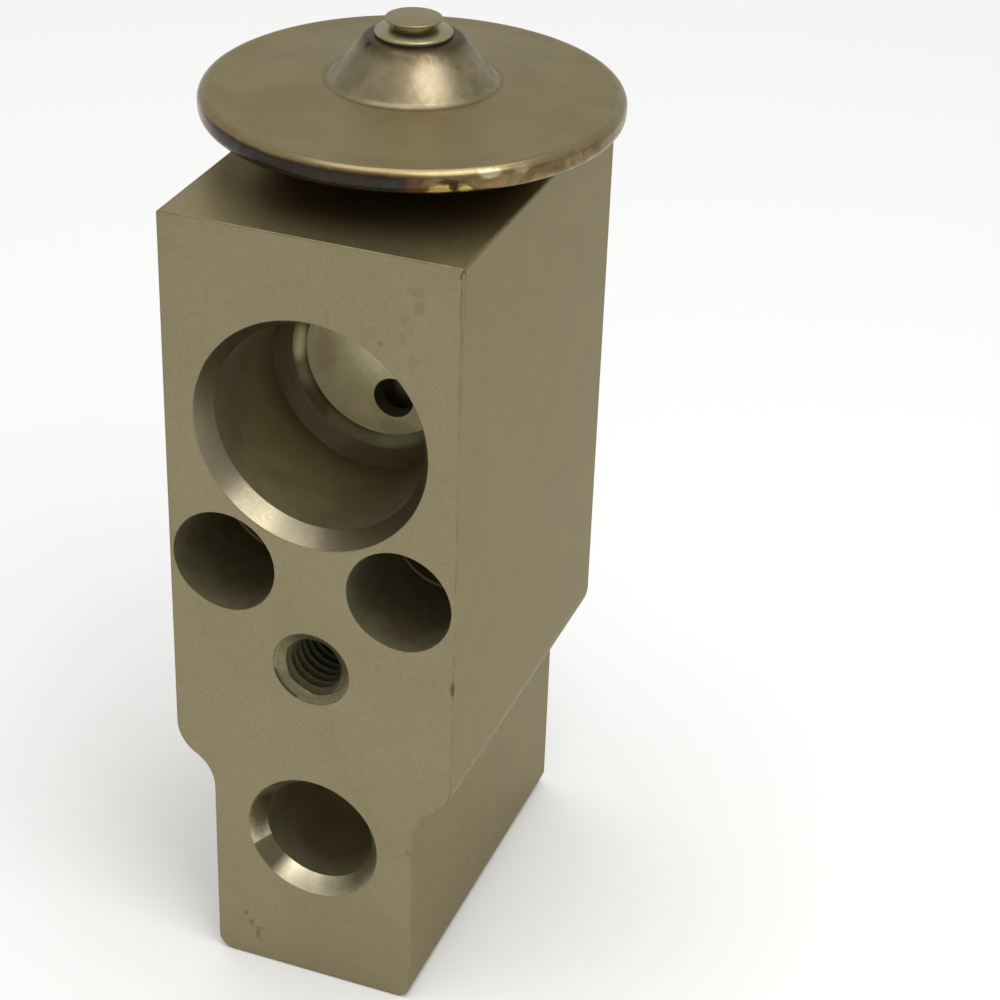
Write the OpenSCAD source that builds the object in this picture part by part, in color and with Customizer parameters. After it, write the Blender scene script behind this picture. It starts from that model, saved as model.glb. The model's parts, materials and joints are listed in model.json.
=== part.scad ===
// Block-type thermostatic expansion valve for a vehicle refrigeration circuit.
// Frame: millimetres, +Z up, origin on the valve axis in the plane of the bottom face,
// the face with the screw recesses towards -Y.

/* [Block] */
// Width of the block above the shoulders
block_w = 27; // [26.8:0.2:32]
// Width of the narrow foot below the shoulders
foot_w = 19.7; // [18.5:0.1:22]
// Depth of the block from the front face to the rear face
block_d = 36.8; // [36:0.1:42]
// Height of the block
block_h = 76.2; // [75.5:0.1:84]
// Distance from the front face back to the valve axis
axis_from_front = 21.7; // [21:0.1:22.5]
// Height of the middle of the shoulder curve
shoulder_z = 22.2; // [20:0.1:24]
// Radius of both arcs of the shoulder curve
shoulder_r = 3.7; // [2.6:0.1:4.2]
// Radius of the two lower corners of the foot
foot_corner_r = 1.5; // [0.8:0.1:2]
// Bevel that breaks the two upper edges
edge_break = 0.25; // [0.15:0.05:0.4]

/* [Suction ports] */
// Height of the suction ports
suction_z = 58; // [57.5:0.1:59]
// Radius of the suction port bores
suction_bore_r = 9.65; // [9.2:0.05:9.9]
// Radius of the mouths of the suction ports
suction_mouth_r = 10.75; // [10.3:0.05:11]
// Depth of the lead-in of the suction ports
suction_lead_depth = 1.95; // [1:0.05:2.5]
// Depth of the bore of the front suction port
suction_front_depth = 13.4; // [11:0.1:13.6]
// Radius between the steep and the shallow taper in the front suction port
suction_taper_r = 8.35; // [8:0.05:8.8]
// Radius of the flat floor of the front suction port
suction_floor_r = 7.2; // [6.5:0.05:7.5]
// Depth of the shallow taper that leads to the floor
floor_taper_depth = 0.6; // [0.3:0.05:0.7]
// Depth of the bore of the rear suction port
suction_rear_depth = 10; // [7:0.1:10.2]
// Radius of the passage from the rear suction port to the rod
suction_passage_r = 6.2; // [5.6:0.1:6.4]
// Radius of the hole in the floor of the front suction port
floor_hole_r = 1.9; // [1.2:0.05:2.2]
// Sideways place of that hole
floor_hole_x = 1.2; // [0:0.1:1.6]
// Distance of that hole below the port axis
floor_hole_drop = 3.4; // [2.4:0.1:3.8]

/* [Liquid ports] */
// Height of the front liquid port
liquid_front_z = 15.9; // [14.8:0.1:16.4]
// Height of the rear liquid port
liquid_rear_z = 27; // [26.6:0.1:28]
// Radius of the liquid port bores
liquid_bore_r = 5.25; // [4.8:0.05:5.4]
// Radius of the mouths of the liquid ports
liquid_mouth_r = 6.45; // [6.1:0.05:6.8]
// Depth of the lead-in of the liquid ports
liquid_lead_depth = 1.6; // [0.8:0.05:2]
// Depth of the bore of the front liquid port
liquid_front_depth = 13.6; // [11:0.1:14]
// Depth of the bore of the rear liquid port
liquid_rear_depth = 11; // [8:0.1:11.2]
// Radius of the drilling from the front liquid port to the valve chamber
inlet_drill_r = 3; // [2:0.1:3.2]
// Radius of the drilling from the rear liquid port to the orifice
outlet_drill_r = 2.4; // [1.6:0.1:2.5]

/* [Screw holes] */
// Distance of each mounting screw from the middle
screw_x = 8.25; // [7.9:0.05:8.4]
// Height of the mounting screws
screw_z = 43.85; // [42.8:0.05:43.9]
// Radius of the recesses for the screw heads
screw_head_r = 4.85; // [4.4:0.05:4.95]
// Depth of the recesses for the screw heads
screw_head_depth = 11; // [6:0.1:13]
// Radius of the through holes for the screws
screw_hole_r = 2.75; // [2.5:0.05:3.2]
// Height of the threaded hole for the line clamp
clamp_hole_z = 34.7; // [33.6:0.1:35.4]
// Major radius of that thread
clamp_hole_r = 3; // [2.5:0.5:3]
// Radius of the countersink at its mouth
clamp_mouth_r = 3.7; // [3.3:0.05:4]
// Depth of that countersink
clamp_mouth_depth = 0.55; // [0.3:0.05:1]
// Depth of that hole
clamp_hole_depth = 13.5; // [9:0.5:16]

/* [Vertical bores] */
// Major radius of the thread that holds the head
neck_r = 9; // [8.4:0.1:9.1]
// Length of the head's neck in the block
neck_depth = 6.5; // [5:0.1:6.6]
// Wall of the head's neck
neck_wall = 2.2; // [1.6:0.1:3]
// Radial width of the groove for the head seal
head_groove_w = 1.4; // [1.2:0.05:1.6]
// Depth of the groove for the head seal
head_groove_depth = 1.5; // [1.45:0.05:2]
// Radius of the gas bore around the sensing rod
rod_bore_r = 4.8; // [4.6:0.05:5]
// Height of the floor that the rod seal lies on
rod_seal_z = 46.5; // [46:0.1:47]
// Length of the bore that guides the sensing rod
rod_guide_depth = 4.5; // [3.5:0.1:6]
// Height of the edge where the ball closes the orifice
seat_z = 20; // [19.8:0.1:20.4]
// Radius of the orifice
orifice_r = 2; // [1.6:0.05:2.1]
// Radius of the valve chamber
chamber_r = 5.4; // [5.3:0.05:5.6]
// Major radius of the adjuster thread
adjuster_r = 6; // [5.9:0.05:6.3]
// Height of the top of the adjuster thread
adjuster_thread_top = 7.5; // [7.4:0.05:7.6]

/* [Head] */
// Outer radius of the head at its welded rim
head_r = 18.4; // [18:0.1:20]
// Height of the diaphragm's underside above the top of the block
diaphragm_lift = 4.15; // [4.05:0.05:4.6]
// Thickness of the diaphragm
diaphragm_t = 0.12; // [0.08:0.01:0.15]
// Sheet thickness of the upper cover
upper_t = 0.95; // [0.7:0.05:1.1]
// Sheet thickness of the lower cover
lower_t = 1.1; // [0.9:0.05:1.2]
// Width of the flat clamping band inside the weld
band_w = 1.6; // [1.2:0.1:2.4]
// Radial width of the rim weld
weld_w = 0.9; // [0.7:0.05:1.2]
// Rise of the upper cover from the band to the foot of the dome
cover_rise = 0.9; // [0.5:0.05:1.2]
// Radius of the foot of the dome
dome_foot_r = 7.5; // [7:0.1:8.2]
// Radius of the top of the dome
dome_top_r = 4.3; // [4:0.05:4.8]
// Height of the dome above its foot
dome_h = 3.8; // [3:0.1:4.6]
// Radius of the head of the charging plug
plug_head_r = 2.45; // [2.1:0.05:2.8]
// Thickness of the head of the charging plug
plug_head_t = 0.4; // [0.3:0.05:0.9]
// Radius of the stem of the charging plug
plug_stem_r = 1.7; // [1.4:0.05:1.8]
// Outer radius of the ring weld round the charging plug
plug_weld_r = 3.45; // [3:0.05:3.6]
// Height of the side of that ring weld
plug_weld_h = 0.38; // [0.3:0.01:0.45]
// Rise of that ring weld from its side to the charging plug
plug_weld_crown = 0.34; // [0.2:0.02:0.4]
// Gap between that ring weld and the plug's head
plug_head_gap = 0.4; // [0.25:0.05:0.5]
// Radius of the pad under the diaphragm
pad_r = 10.2; // [9.9:0.05:10.8]
// Thickness of the pad under the diaphragm
pad_t = 1.95; // [1.7:0.05:2]

/* [Valve train] */
// Opening travel of the ball, pin, rod and pad
stroke = 0.8; // [0.5:0.05:0.85]
// Radius of the sensing rod
rod_r = 3; // [2.7:0.05:3.2]
// Radius of the operating pin
pin_r = 1.2; // [0.9:0.05:1.3]
// Radius of the ball
ball_r = 2.5; // [2.4:0.05:2.6]
// Radius of the flange of the ball carrier
carrier_r = 4; // [3.8:0.05:4.2]
// Thickness of the flange of the ball carrier
carrier_t = 1.9; // [1.5:0.05:2.1]
// Depth to which the ball sits in the carrier
cup_depth = 0.9; // [0.5:0.05:1.1]
// Length of the boss that centres the bias spring
boss_length = 2.4; // [1.5:0.1:2.6]
// Wire radius of the bias spring
wire_r = 0.45; // [0.35:0.01:0.5]
// Mean radius of the bias spring
spring_r = 2.9; // [2.8:0.02:3]
// Turns of the bias spring
spring_turns = 5.5; // [4.5:0.5:6]
// Sheet thickness of the damping spring
leaf_t = 0.25; // [0.15:0.05:0.3]
// Width of each leg of the damping spring
leg_w = 1.6; // [1:0.1:2]
// Number of legs of the damping spring
leg_count = 6; // [4:1:8]
// Height over which each leg spreads to the wall of the valve chamber
leg_drop = 1; // [0.8:0.05:1.2]
// Height of the part of each leg that slides on that wall
leg_slide = 0.4; // [0.3:0.05:0.5]
// Size of the toe at the end of each leg that turns away from the wall
leg_toe = 0.35; // [0.25:0.05:0.4]

/* [Adjuster] */
// Height of the lower face of the adjusting plug
plug_z = 1.2; // [1.05:0.05:1.5]
// Length of the thread of the adjusting plug
plug_thread_length = 5; // [4.4:0.1:5.1]
// Length of the plain nose of the adjusting plug
plug_nose_length = 4.5; // [4.4:0.1:4.7]
// Height of the floor of the spring pocket above the lower face of the plug
spring_floor = 5.8; // [5.4:0.1:6.2]
// Width across the flats of the hexagon socket
socket_af = 4; // [3:0.5:5]
// Depth of the hexagon socket
socket_depth = 3.5; // [2.5:0.1:4]
// Width of the groove for the plug seal
plug_groove_w = 1.4; // [1.3:0.05:1.5]
// Depth of the groove for the plug seal
plug_groove_depth = 1.2; // [1.05:0.05:1.2]

/* [Fits] */
// Radial clearance of pieces that move or turn in each other
running = 0.05; // [0.03:0.01:0.08]
// Clearance of pieces that are screwed, pressed or laid together
seated = 0.03; // [0.02:0.01:0.05]

/* [Hidden] */
$fn = 96;
cut = 1;

front_y = -axis_from_front;
rear_y = block_d - axis_from_front;
half_w = block_w / 2;
half_foot = foot_w / 2;

// The shoulder is two equal arcs that meet half way between their centres.
shoulder_angle = acos(1 - (half_w - half_foot) / (2 * shoulder_r));
shoulder_half_h = shoulder_r * sin(shoulder_angle);
bulge_centre = [half_w - shoulder_r, shoulder_z + shoulder_half_h];
hollow_centre = [half_foot + shoulder_r, shoulder_z - shoulder_half_h];

floor_taper_start = suction_front_depth + suction_bore_r - suction_taper_r;
suction_floor_y = front_y + floor_taper_start + floor_taper_depth;

neck_bottom_z = block_h - neck_depth;
neck_bore_r = neck_r - neck_wall;
neck_relief = 0.5;
rod_guide_z = rod_seal_z - rod_guide_depth;
orifice_top_z = liquid_rear_z + outlet_drill_r * 0.7;
chamber_top_z = seat_z - (chamber_r - orifice_r) / 2;

weld_inner_r = head_r - weld_w;
band_inner_r = weld_inner_r - band_w;
diaphragm_z = block_h + diaphragm_lift;
upper_flange_z = diaphragm_z + diaphragm_t;
cover_top_z = upper_flange_z + upper_t;
rim_bottom_z = diaphragm_z - lower_t;
dome_foot_z = cover_top_z + cover_rise;
dome_top_z = dome_foot_z + dome_h;
plug_weld_top_z = dome_top_z + plug_weld_h + plug_weld_crown;
plug_head_z = plug_weld_top_z + plug_head_gap;
plug_head_edge = plug_head_t * 0.3;
dish_floor_z = block_h + lower_t;
dish_floor_r = pad_r + 0.3;

ball_z = seat_z - sqrt(pow(ball_r, 2) - pow(orifice_r, 2)) - seated;
carrier_top_z = ball_z - ball_r + cup_depth;
carrier_bottom_z = carrier_top_z - carrier_t;
leaf_bottom_z = carrier_bottom_z - leaf_t;
boss_r = spring_r - wire_r - 0.15;
boss_bottom_z = carrier_bottom_z - boss_length;
pad_top_z = diaphragm_z - seated;
pad_bottom_z = pad_top_z - pad_t;
pad_socket_depth = pad_t / 2;
rod_top_z = pad_bottom_z + pad_socket_depth;
rod_bottom_z = rod_guide_z + stroke + 0.4;
rod_edge = 0.3;
pin_socket_depth = 2.2;
pin_top_z = rod_bottom_z + pin_socket_depth;
pin_bottom_z = ball_z + ball_r;
rod_seal_wire_r = (rod_bore_r - rod_r) / 2 - running;
retainer_z = rod_seal_z + 2 * rod_seal_wire_r + 2 * seated;
retainer_h = 1.4;
retainer_gap = 0.2;

plug_thread_top = plug_z + plug_thread_length;
plug_top_z = plug_thread_top + plug_nose_length;
spring_floor_z = plug_z + spring_floor;
spring_pocket_r = spring_r + wire_r + 0.15;
plug_nose_r = chamber_r - running;
plug_groove_top_z = plug_top_z - 0.5;
plug_seal_wire_r = plug_groove_depth / 2;

function unit(v) = v / norm(v);

// The points of an arc of radius r that rounds the corner p between a and b.
function corner(a, p, b, r, steps) =
    let (
        u = unit(a - p),
        v = unit(b - p),
        half = acos(u * v) / 2,
        centre = p + unit(u + v) * r / sin(half),
        first = unit(p + u * r / tan(half) - centre),
        last = unit(p + v * r / tan(half) - centre),
        sweep = 180 - 2 * half
    )
    [for (i = [0:steps])
        centre + r * (sin((1 - i / steps) * sweep) * first + sin(i / steps * sweep) * last) / sin(sweep)];

// A path whose inner corners are rounded with the given radii, 0 for a sharp one.
function softened(path, radii, steps = 4) =
    [for (i = [0:len(path) - 1])
        each (radii[i] > 0 ? corner(path[i - 1], path[i], path[i + 1], radii[i], steps) : [path[i]])];

// The unit vector to the left of the way from a to b.
function left(a, b) = let (d = unit(b - a)) [-d.y, d.x];

// The mitred line at distance t to the left of a path.
function parallel(path, t) =
    let (last = len(path) - 1)
    [for (i = [0:last])
        let (
            before = left(path[max(i - 1, 0)], path[max(i, 1)]),
            after = left(path[min(i, last - 1)], path[min(i + 1, last)])
        )
        path[i] + t * (before + after) / (1 + before * after)];

// The section of a sheet of thickness t that lies to the left of a path.
function sheet(path, t) =
    let (other = parallel(path, t))
    concat(path, [for (i = [len(path) - 1:-1:0]) other[i]]);

// A body of revolution from [radius, height] points.
module turned(section) {
    rotate_extrude() polygon(section);
}

// A round ring of wire, such as an O-ring.
module ring(r, wire, z) {
    translate([0, 0, z]) rotate_extrude() translate([r, 0]) circle(r = wire, $fn = 32);
}

// A cylinder or cone along +Y round the line x, z, with radius r0 at y0 and r1 at y1.
module drilled(x, z, r0, y0, r1, y1) {
    translate([x, y0, z]) rotate([-90, 0, 0]) cylinder(r1 = r0, r2 = r1, h = y1 - y0);
}

// A port bored from a face at y0 in the direction way, with a conical lead-in at its mouth.
module port(z, bore_r, mouth_r, lead, depth, y0, way) {
    mirror([0, way > 0 ? 0 : 1, 0]) {
        drilled(0, z, mouth_r, y0 * way, bore_r, y0 * way + lead);
        drilled(0, z, bore_r, y0 * way + lead / 2, bore_r, y0 * way + depth);
        drilled(0, z, mouth_r, y0 * way - cut, mouth_r, y0 * way);
    }
}

// What is cut away on the right side: the shoulder curve, the space beside the foot and its corner.
module side_notch() {
    tangent = (bulge_centre + hollow_centre) / 2;
    corner_x = half_foot - foot_corner_r;
    translate([half_foot, -cut]) square([half_w, hollow_centre.y + cut]);
    translate(hollow_centre) circle(r = shoulder_r);
    difference() {
        translate([tangent.x, hollow_centre.y]) square([half_w, bulge_centre.y - hollow_centre.y]);
        translate(bulge_centre) circle(r = shoulder_r);
    }
    difference() {
        translate([corner_x, -cut]) square([half_w, foot_corner_r + cut]);
        translate([corner_x, foot_corner_r]) circle(r = foot_corner_r);
    }
    translate([half_w, block_h]) rotate(45) square(edge_break * sqrt(2), center = true);
}

// The extruded bar before drilling.
module blank() {
    translate([0, rear_y, 0]) rotate([90, 0, 0]) linear_extrude(block_d) difference() {
        translate([-half_w, 0]) square([block_w, block_h]);
        side_notch();
        mirror([1, 0]) side_notch();
    }
}

// Front suction port: bore, two tapers down to the floor, and the hole in the floor.
module suction_front() {
    port(suction_z, suction_bore_r, suction_mouth_r, suction_lead_depth, suction_front_depth, front_y, 1);
    drilled(0, suction_z, suction_bore_r, front_y + suction_front_depth,
        suction_taper_r, front_y + floor_taper_start);
    drilled(0, suction_z, suction_taper_r, front_y + floor_taper_start, suction_floor_r, suction_floor_y);
    drilled(floor_hole_x, suction_z - floor_hole_drop, floor_hole_r, front_y + suction_front_depth,
        floor_hole_r, -rod_r);
}

// Rear suction port with the wide passage that the sensing rod crosses.
module suction_rear() {
    port(suction_z, suction_bore_r, suction_mouth_r, suction_lead_depth, suction_rear_depth, rear_y, -1);
    drilled(0, suction_z, suction_passage_r, 0, suction_passage_r, rear_y - suction_rear_depth / 2);
}

// The two liquid ports with their drillings to the valve chamber and to the orifice.
module liquid_ports() {
    port(liquid_front_z, liquid_bore_r, liquid_mouth_r, liquid_lead_depth, liquid_front_depth, front_y, 1);
    drilled(0, liquid_front_z, inlet_drill_r, front_y + liquid_front_depth / 2, inlet_drill_r, 0);
    port(liquid_rear_z, liquid_bore_r, liquid_mouth_r, liquid_lead_depth, liquid_rear_depth, rear_y, -1);
    drilled(0, liquid_rear_z, outlet_drill_r, 0, outlet_drill_r, rear_y - liquid_rear_depth / 2);
}

// The two mounting holes with recesses for the screw heads, and the threaded clamp hole.
module screw_holes() {
    for (x = [-screw_x, screw_x]) {
        drilled(x, screw_z, screw_head_r, front_y - cut, screw_head_r, front_y + screw_head_depth);
        drilled(x, screw_z, screw_hole_r, front_y, screw_hole_r, rear_y + cut);
    }
    port(clamp_hole_z, clamp_hole_r, clamp_mouth_r, clamp_mouth_depth, clamp_hole_depth, front_y, 1);
    drilled(0, clamp_hole_z, clamp_hole_r, front_y + clamp_hole_depth,
        0.3, front_y + clamp_hole_depth + clamp_hole_r * 0.55);
}

// The bores along the valve axis, from the head thread down to the adjuster.
module axis_bores() {
    head_bore_r = neck_r + seated;
    turned([[0, block_h + cut], [head_bore_r + head_groove_w, block_h + cut],
        [head_bore_r + head_groove_w, block_h - head_groove_depth],
        [head_bore_r, block_h - head_groove_depth], [head_bore_r, neck_bottom_z - neck_relief],
        [rod_bore_r, neck_bottom_z - neck_relief - (head_bore_r - rod_bore_r) * 0.2],
        [rod_bore_r, rod_seal_z], [rod_r + running, rod_seal_z],
        [rod_r + running, rod_guide_z], [pin_r + running, rod_guide_z],
        [pin_r + running, orifice_top_z], [orifice_r, orifice_top_z], [orifice_r, seat_z],
        [chamber_r, chamber_top_z], [chamber_r, adjuster_thread_top],
        [adjuster_r + running, adjuster_thread_top], [adjuster_r + running, -cut], [0, -cut]]);
}

module valve_block() {
    color([0.58, 0.55, 0.44]) difference() {
        blank();
        suction_front();
        suction_rear();
        liquid_ports();
        screw_holes();
        axis_bores();
    }
}

// Lower half of the head: a dish with a flat rim and the threaded neck.
module lower_cover() {
    slope = unit([band_inner_r - dish_floor_r, diaphragm_z - dish_floor_z]);
    hub_r = dish_floor_r + lower_t * (1 - slope.x) / slope.y;
    color([0.5, 0.48, 0.42]) turned([[neck_bore_r, neck_bottom_z], [neck_r - 0.4, neck_bottom_z],
        [neck_r, neck_bottom_z + 0.4], [neck_r, block_h], [hub_r, block_h],
        [band_inner_r + lower_t * (1 - slope.x) / slope.y, rim_bottom_z],
        [weld_inner_r, rim_bottom_z], [weld_inner_r, diaphragm_z], [band_inner_r, diaphragm_z],
        [dish_floor_r, dish_floor_z], [neck_bore_r, dish_floor_z]]);
}

// Upper half of the head: a shallow cone with a central dome that holds the charging plug.
module upper_cover() {
    path = softened([[plug_stem_r, dome_top_z], [dome_top_r, dome_top_z], [dome_foot_r, dome_foot_z],
        [band_inner_r, cover_top_z], [weld_inner_r, cover_top_z]], [0, 1.1, 1.2, 0, 0]);
    color([0.55, 0.52, 0.42]) turned(sheet(path, -upper_t));
}

// The bead that closes the two covers and the diaphragm at the rim.
module rim_weld() {
    round_r = weld_w * 0.9;
    path = softened([[weld_inner_r, rim_bottom_z], [head_r, rim_bottom_z], [head_r, cover_top_z],
        [weld_inner_r, cover_top_z]], [0, round_r, round_r, 0], 6);
    color([0.6, 0.5, 0.32]) turned(path);
}

// The plug that closes the filling hole of the head, with its low round head.
module charging_plug() {
    stem_bottom_z = dome_top_z - upper_t - 0.6;
    top_z = plug_head_z + plug_head_t;
    path = softened([[0, stem_bottom_z], [plug_stem_r - seated, stem_bottom_z],
        [plug_stem_r - seated, plug_head_z], [plug_head_r, plug_head_z], [plug_head_r, top_z], [0, top_z]],
        [0, plug_head_edge, 0, plug_head_edge, plug_head_edge, 0], 3);
    color([0.58, 0.55, 0.45]) turned(path);
}

// The raised weld round the plug: an upright side and a crown that rises to the plug's stem.
module plug_weld() {
    path = softened([[plug_stem_r, dome_top_z], [plug_weld_r, dome_top_z],
        [plug_weld_r, dome_top_z + plug_weld_h], [plug_stem_r + plug_weld_crown, plug_weld_top_z],
        [plug_stem_r, plug_weld_top_z]], [0, 0, plug_weld_h * 0.4, plug_weld_crown * 0.6, 0]);
    color([0.68, 0.68, 0.55]) turned(path);
}

// The thin diaphragm with one ring-shaped wave between the pad and the band.
module diaphragm() {
    wave_r = (dish_floor_r + band_inner_r) / 2;
    wave_w = (band_inner_r - dish_floor_r) / 3;
    path = softened([[0, diaphragm_z], [wave_r - wave_w, diaphragm_z], [wave_r, diaphragm_z - 0.35],
        [wave_r + wave_w, diaphragm_z], [weld_inner_r, diaphragm_z]], [0, 1.2, 1.2, 1.2, 0]);
    color([0.7, 0.69, 0.66]) turned(sheet(path, diaphragm_t));
}

// The pad that carries the push of the diaphragm to the rod.
module diaphragm_pad() {
    edge = pad_t * 0.25;
    color([0.66, 0.64, 0.6]) turned([[0, pad_top_z], [pad_r - edge, pad_top_z], [pad_r, pad_top_z - edge],
        [pad_r, pad_bottom_z + edge], [pad_r - edge, pad_bottom_z], [rod_r + seated, pad_bottom_z],
        [rod_r + seated, rod_top_z], [0, rod_top_z]]);
}

module head_seal() {
    inner = neck_r + seated;
    wire = head_groove_w / 2 - seated;
    color([0.1, 0.1, 0.1]) ring(inner + head_groove_w / 2, wire, block_h - wire - seated);
}

module sensing_rod() {
    color([0.62, 0.6, 0.52]) turned([[pin_r + seated, rod_bottom_z], [rod_r - rod_edge, rod_bottom_z],
        [rod_r, rod_bottom_z + rod_edge], [rod_r, rod_top_z - rod_edge], [rod_r - rod_edge, rod_top_z],
        [0, rod_top_z], [0, pin_top_z], [pin_r + seated, pin_top_z]]);
}

module operating_pin() {
    edge = pin_r * 0.3;
    color([0.7, 0.7, 0.68]) turned([[0, pin_bottom_z], [pin_r - edge, pin_bottom_z],
        [pin_r, pin_bottom_z + edge], [pin_r, pin_top_z - edge], [pin_r - edge, pin_top_z],
        [0, pin_top_z]]);
}

module rod_seal() {
    color([0.1, 0.1, 0.1]) ring((rod_bore_r + rod_r) / 2, rod_seal_wire_r,
        rod_seal_z + rod_seal_wire_r + seated);
}

// The ring that is pushed into the rod bore over the rod seal.
module seal_retainer() {
    color([0.66, 0.65, 0.6]) turned([[rod_r + retainer_gap, retainer_z], [rod_bore_r - retainer_gap, retainer_z],
        [rod_bore_r - seated, retainer_z + retainer_gap], [rod_bore_r - seated, retainer_z + retainer_h],
        [rod_r + retainer_gap * 2, retainer_z + retainer_h], [rod_r + retainer_gap, retainer_z + retainer_gap]]);
}

module valve_ball() {
    color([0.75, 0.75, 0.75]) translate([0, 0, ball_z]) sphere(r = ball_r);
}

// The flanged support under the ball, with the boss that centres the bias spring.
module ball_carrier() {
    edge = 0.2;
    color([0.7, 0.66, 0.5]) difference() {
        turned([[0, boss_bottom_z], [boss_r - edge, boss_bottom_z], [boss_r, boss_bottom_z + edge],
            [boss_r, carrier_bottom_z], [carrier_r, carrier_bottom_z], [carrier_r, carrier_top_z - edge],
            [carrier_r - edge, carrier_top_z], [0, carrier_top_z]]);
        translate([0, 0, ball_z]) sphere(r = ball_r + seated / 2);
    }
}

// The sheet ring whose legs slide on the chamber wall and calm the carrier.
module damping_spring() {
    reach = chamber_r - 2 * running;
    knee = carrier_r + 2 * running;
    spread_z = carrier_bottom_z - leg_drop;
    leg = sheet([[(boss_r + carrier_r) / 2, carrier_bottom_z], [knee, carrier_bottom_z],
        [reach, spread_z], [reach, spread_z - leg_slide],
        [reach - leg_toe, spread_z - leg_slide - leg_toe]], -leaf_t);
    ring_r = carrier_r - leg_toe;
    color([0.72, 0.72, 0.7]) {
        turned([[boss_r + seated, leaf_bottom_z], [ring_r, leaf_bottom_z],
            [ring_r, carrier_bottom_z], [boss_r + seated, carrier_bottom_z]]);
        for (i = [0:leg_count - 1])
            rotate([90, 0, (i + 0.5) * 360 / leg_count]) linear_extrude(leg_w, center = true) polygon(leg);
    }
}

// Height along the bias spring after a number of turns, with one closed turn at each end.
function coil_z(turn, low, high) =
    let (
        closed = 2 * wire_r + seated,
        pitch = (high - low - 2 * closed) / (spring_turns - 2)
    )
    turn < 1 ? low + closed * turn
        : turn > spring_turns - 1 ? high - closed * (spring_turns - turn)
        : low + closed + pitch * (turn - 1);

// The compression spring that pushes the ball to its seat.
module bias_spring() {
    low = spring_floor_z + wire_r + seated;
    high = leaf_bottom_z - wire_r - seated;
    sides = 10;
    rings = floor(spring_turns * 28);
    points = [for (i = [0:rings], k = [0:sides - 1])
        let (
            turn = spring_turns * i / rings,
            r = spring_r + wire_r * cos(360 * k / sides)
        )
        [r * cos(360 * turn), r * sin(360 * turn), coil_z(turn, low, high) + wire_r * sin(360 * k / sides)]];
    walls = [for (i = [0:rings - 1], k = [0:sides - 1])
        let (next = (k + 1) % sides)
        [i * sides + k, i * sides + next, (i + 1) * sides + next, (i + 1) * sides + k]];
    ends = [[for (k = [sides - 1:-1:0]) k], [for (k = [0:sides - 1]) rings * sides + k]];
    color([0.6, 0.6, 0.58]) polyhedron(points = points, faces = concat(walls, ends));
}

// The threaded plug that sets the bias spring, with a hexagon socket and a sealed nose.
module adjusting_plug() {
    edge = 0.4;
    groove_r = plug_nose_r - plug_groove_depth;
    color([0.64, 0.6, 0.48]) difference() {
        turned([[0, plug_z], [adjuster_r - edge, plug_z], [adjuster_r, plug_z + edge],
            [adjuster_r, plug_thread_top - edge], [adjuster_r - edge, plug_thread_top],
            [plug_nose_r, plug_thread_top], [plug_nose_r, plug_groove_top_z - plug_groove_w],
            [groove_r, plug_groove_top_z - plug_groove_w], [groove_r, plug_groove_top_z],
            [plug_nose_r, plug_groove_top_z], [plug_nose_r, plug_top_z], [spring_pocket_r, plug_top_z],
            [spring_pocket_r, spring_floor_z], [0, spring_floor_z]]);
        translate([0, 0, plug_z - cut])
            cylinder(r = socket_af / 2 / cos(30), h = socket_depth + cut, $fn = 6);
    }
}

module plug_seal() {
    color([0.1, 0.1, 0.1]) ring(plug_nose_r - plug_groove_depth / 2, plug_seal_wire_r - seated,
        plug_groove_top_z - plug_groove_w / 2);
}

valve_block();
lower_cover();
upper_cover();
rim_weld();
charging_plug();
plug_weld();
diaphragm();
diaphragm_pad();
head_seal();
sensing_rod();
operating_pin();
rod_seal();
seal_retainer();
valve_ball();
ball_carrier();
damping_spring();
bias_spring();
adjusting_plug();
plug_seal();
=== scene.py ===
"""Looks of a block-type expansion valve: a drilled aluminium block with a welded steel head.

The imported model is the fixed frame. Its box and its mounts give the places and sizes here, and the
classes below rebuild the visible pieces with finer edges, threads and marks, and dress every piece.
Sizes are in millimetres, as on a drawing. Meshes, lamps and the camera are made in metres.
"""

import json
import logging
import math
from dataclasses import dataclass, field
from enum import Enum, IntEnum
from typing import Callable, Sequence

import bmesh
import bpy
from mathutils import Matrix, Vector


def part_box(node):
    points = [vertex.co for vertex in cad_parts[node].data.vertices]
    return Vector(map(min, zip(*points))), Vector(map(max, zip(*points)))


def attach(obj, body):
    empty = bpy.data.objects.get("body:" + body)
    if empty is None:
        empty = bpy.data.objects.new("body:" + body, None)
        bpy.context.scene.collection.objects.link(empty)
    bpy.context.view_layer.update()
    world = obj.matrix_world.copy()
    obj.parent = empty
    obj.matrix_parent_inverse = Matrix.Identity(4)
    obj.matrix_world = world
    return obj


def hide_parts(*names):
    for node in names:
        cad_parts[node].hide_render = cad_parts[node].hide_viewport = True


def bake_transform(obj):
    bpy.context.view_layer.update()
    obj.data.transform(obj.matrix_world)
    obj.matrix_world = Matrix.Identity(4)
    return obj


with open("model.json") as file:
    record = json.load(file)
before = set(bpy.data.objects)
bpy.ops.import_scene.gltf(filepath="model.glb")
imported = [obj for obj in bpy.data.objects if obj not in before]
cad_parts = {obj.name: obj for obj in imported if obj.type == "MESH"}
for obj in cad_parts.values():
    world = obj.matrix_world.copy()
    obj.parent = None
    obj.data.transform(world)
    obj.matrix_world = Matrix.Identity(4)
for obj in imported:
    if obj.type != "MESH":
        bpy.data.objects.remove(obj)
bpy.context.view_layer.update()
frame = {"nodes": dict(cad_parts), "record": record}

LOG = logging.getLogger("expansion_valve")
MM = 0.001
ROUND_SEGMENTS = 160
SMALL_SEGMENTS = 64
SHARP_ANGLE = math.radians(34)
HAIR = 0.001
NUT_THREAD_DEPTH = 0.5413

Bytes = tuple[int, int, int]
Row = tuple[float, float, int]
Shape = Callable[[float, float, float], float]


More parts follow.
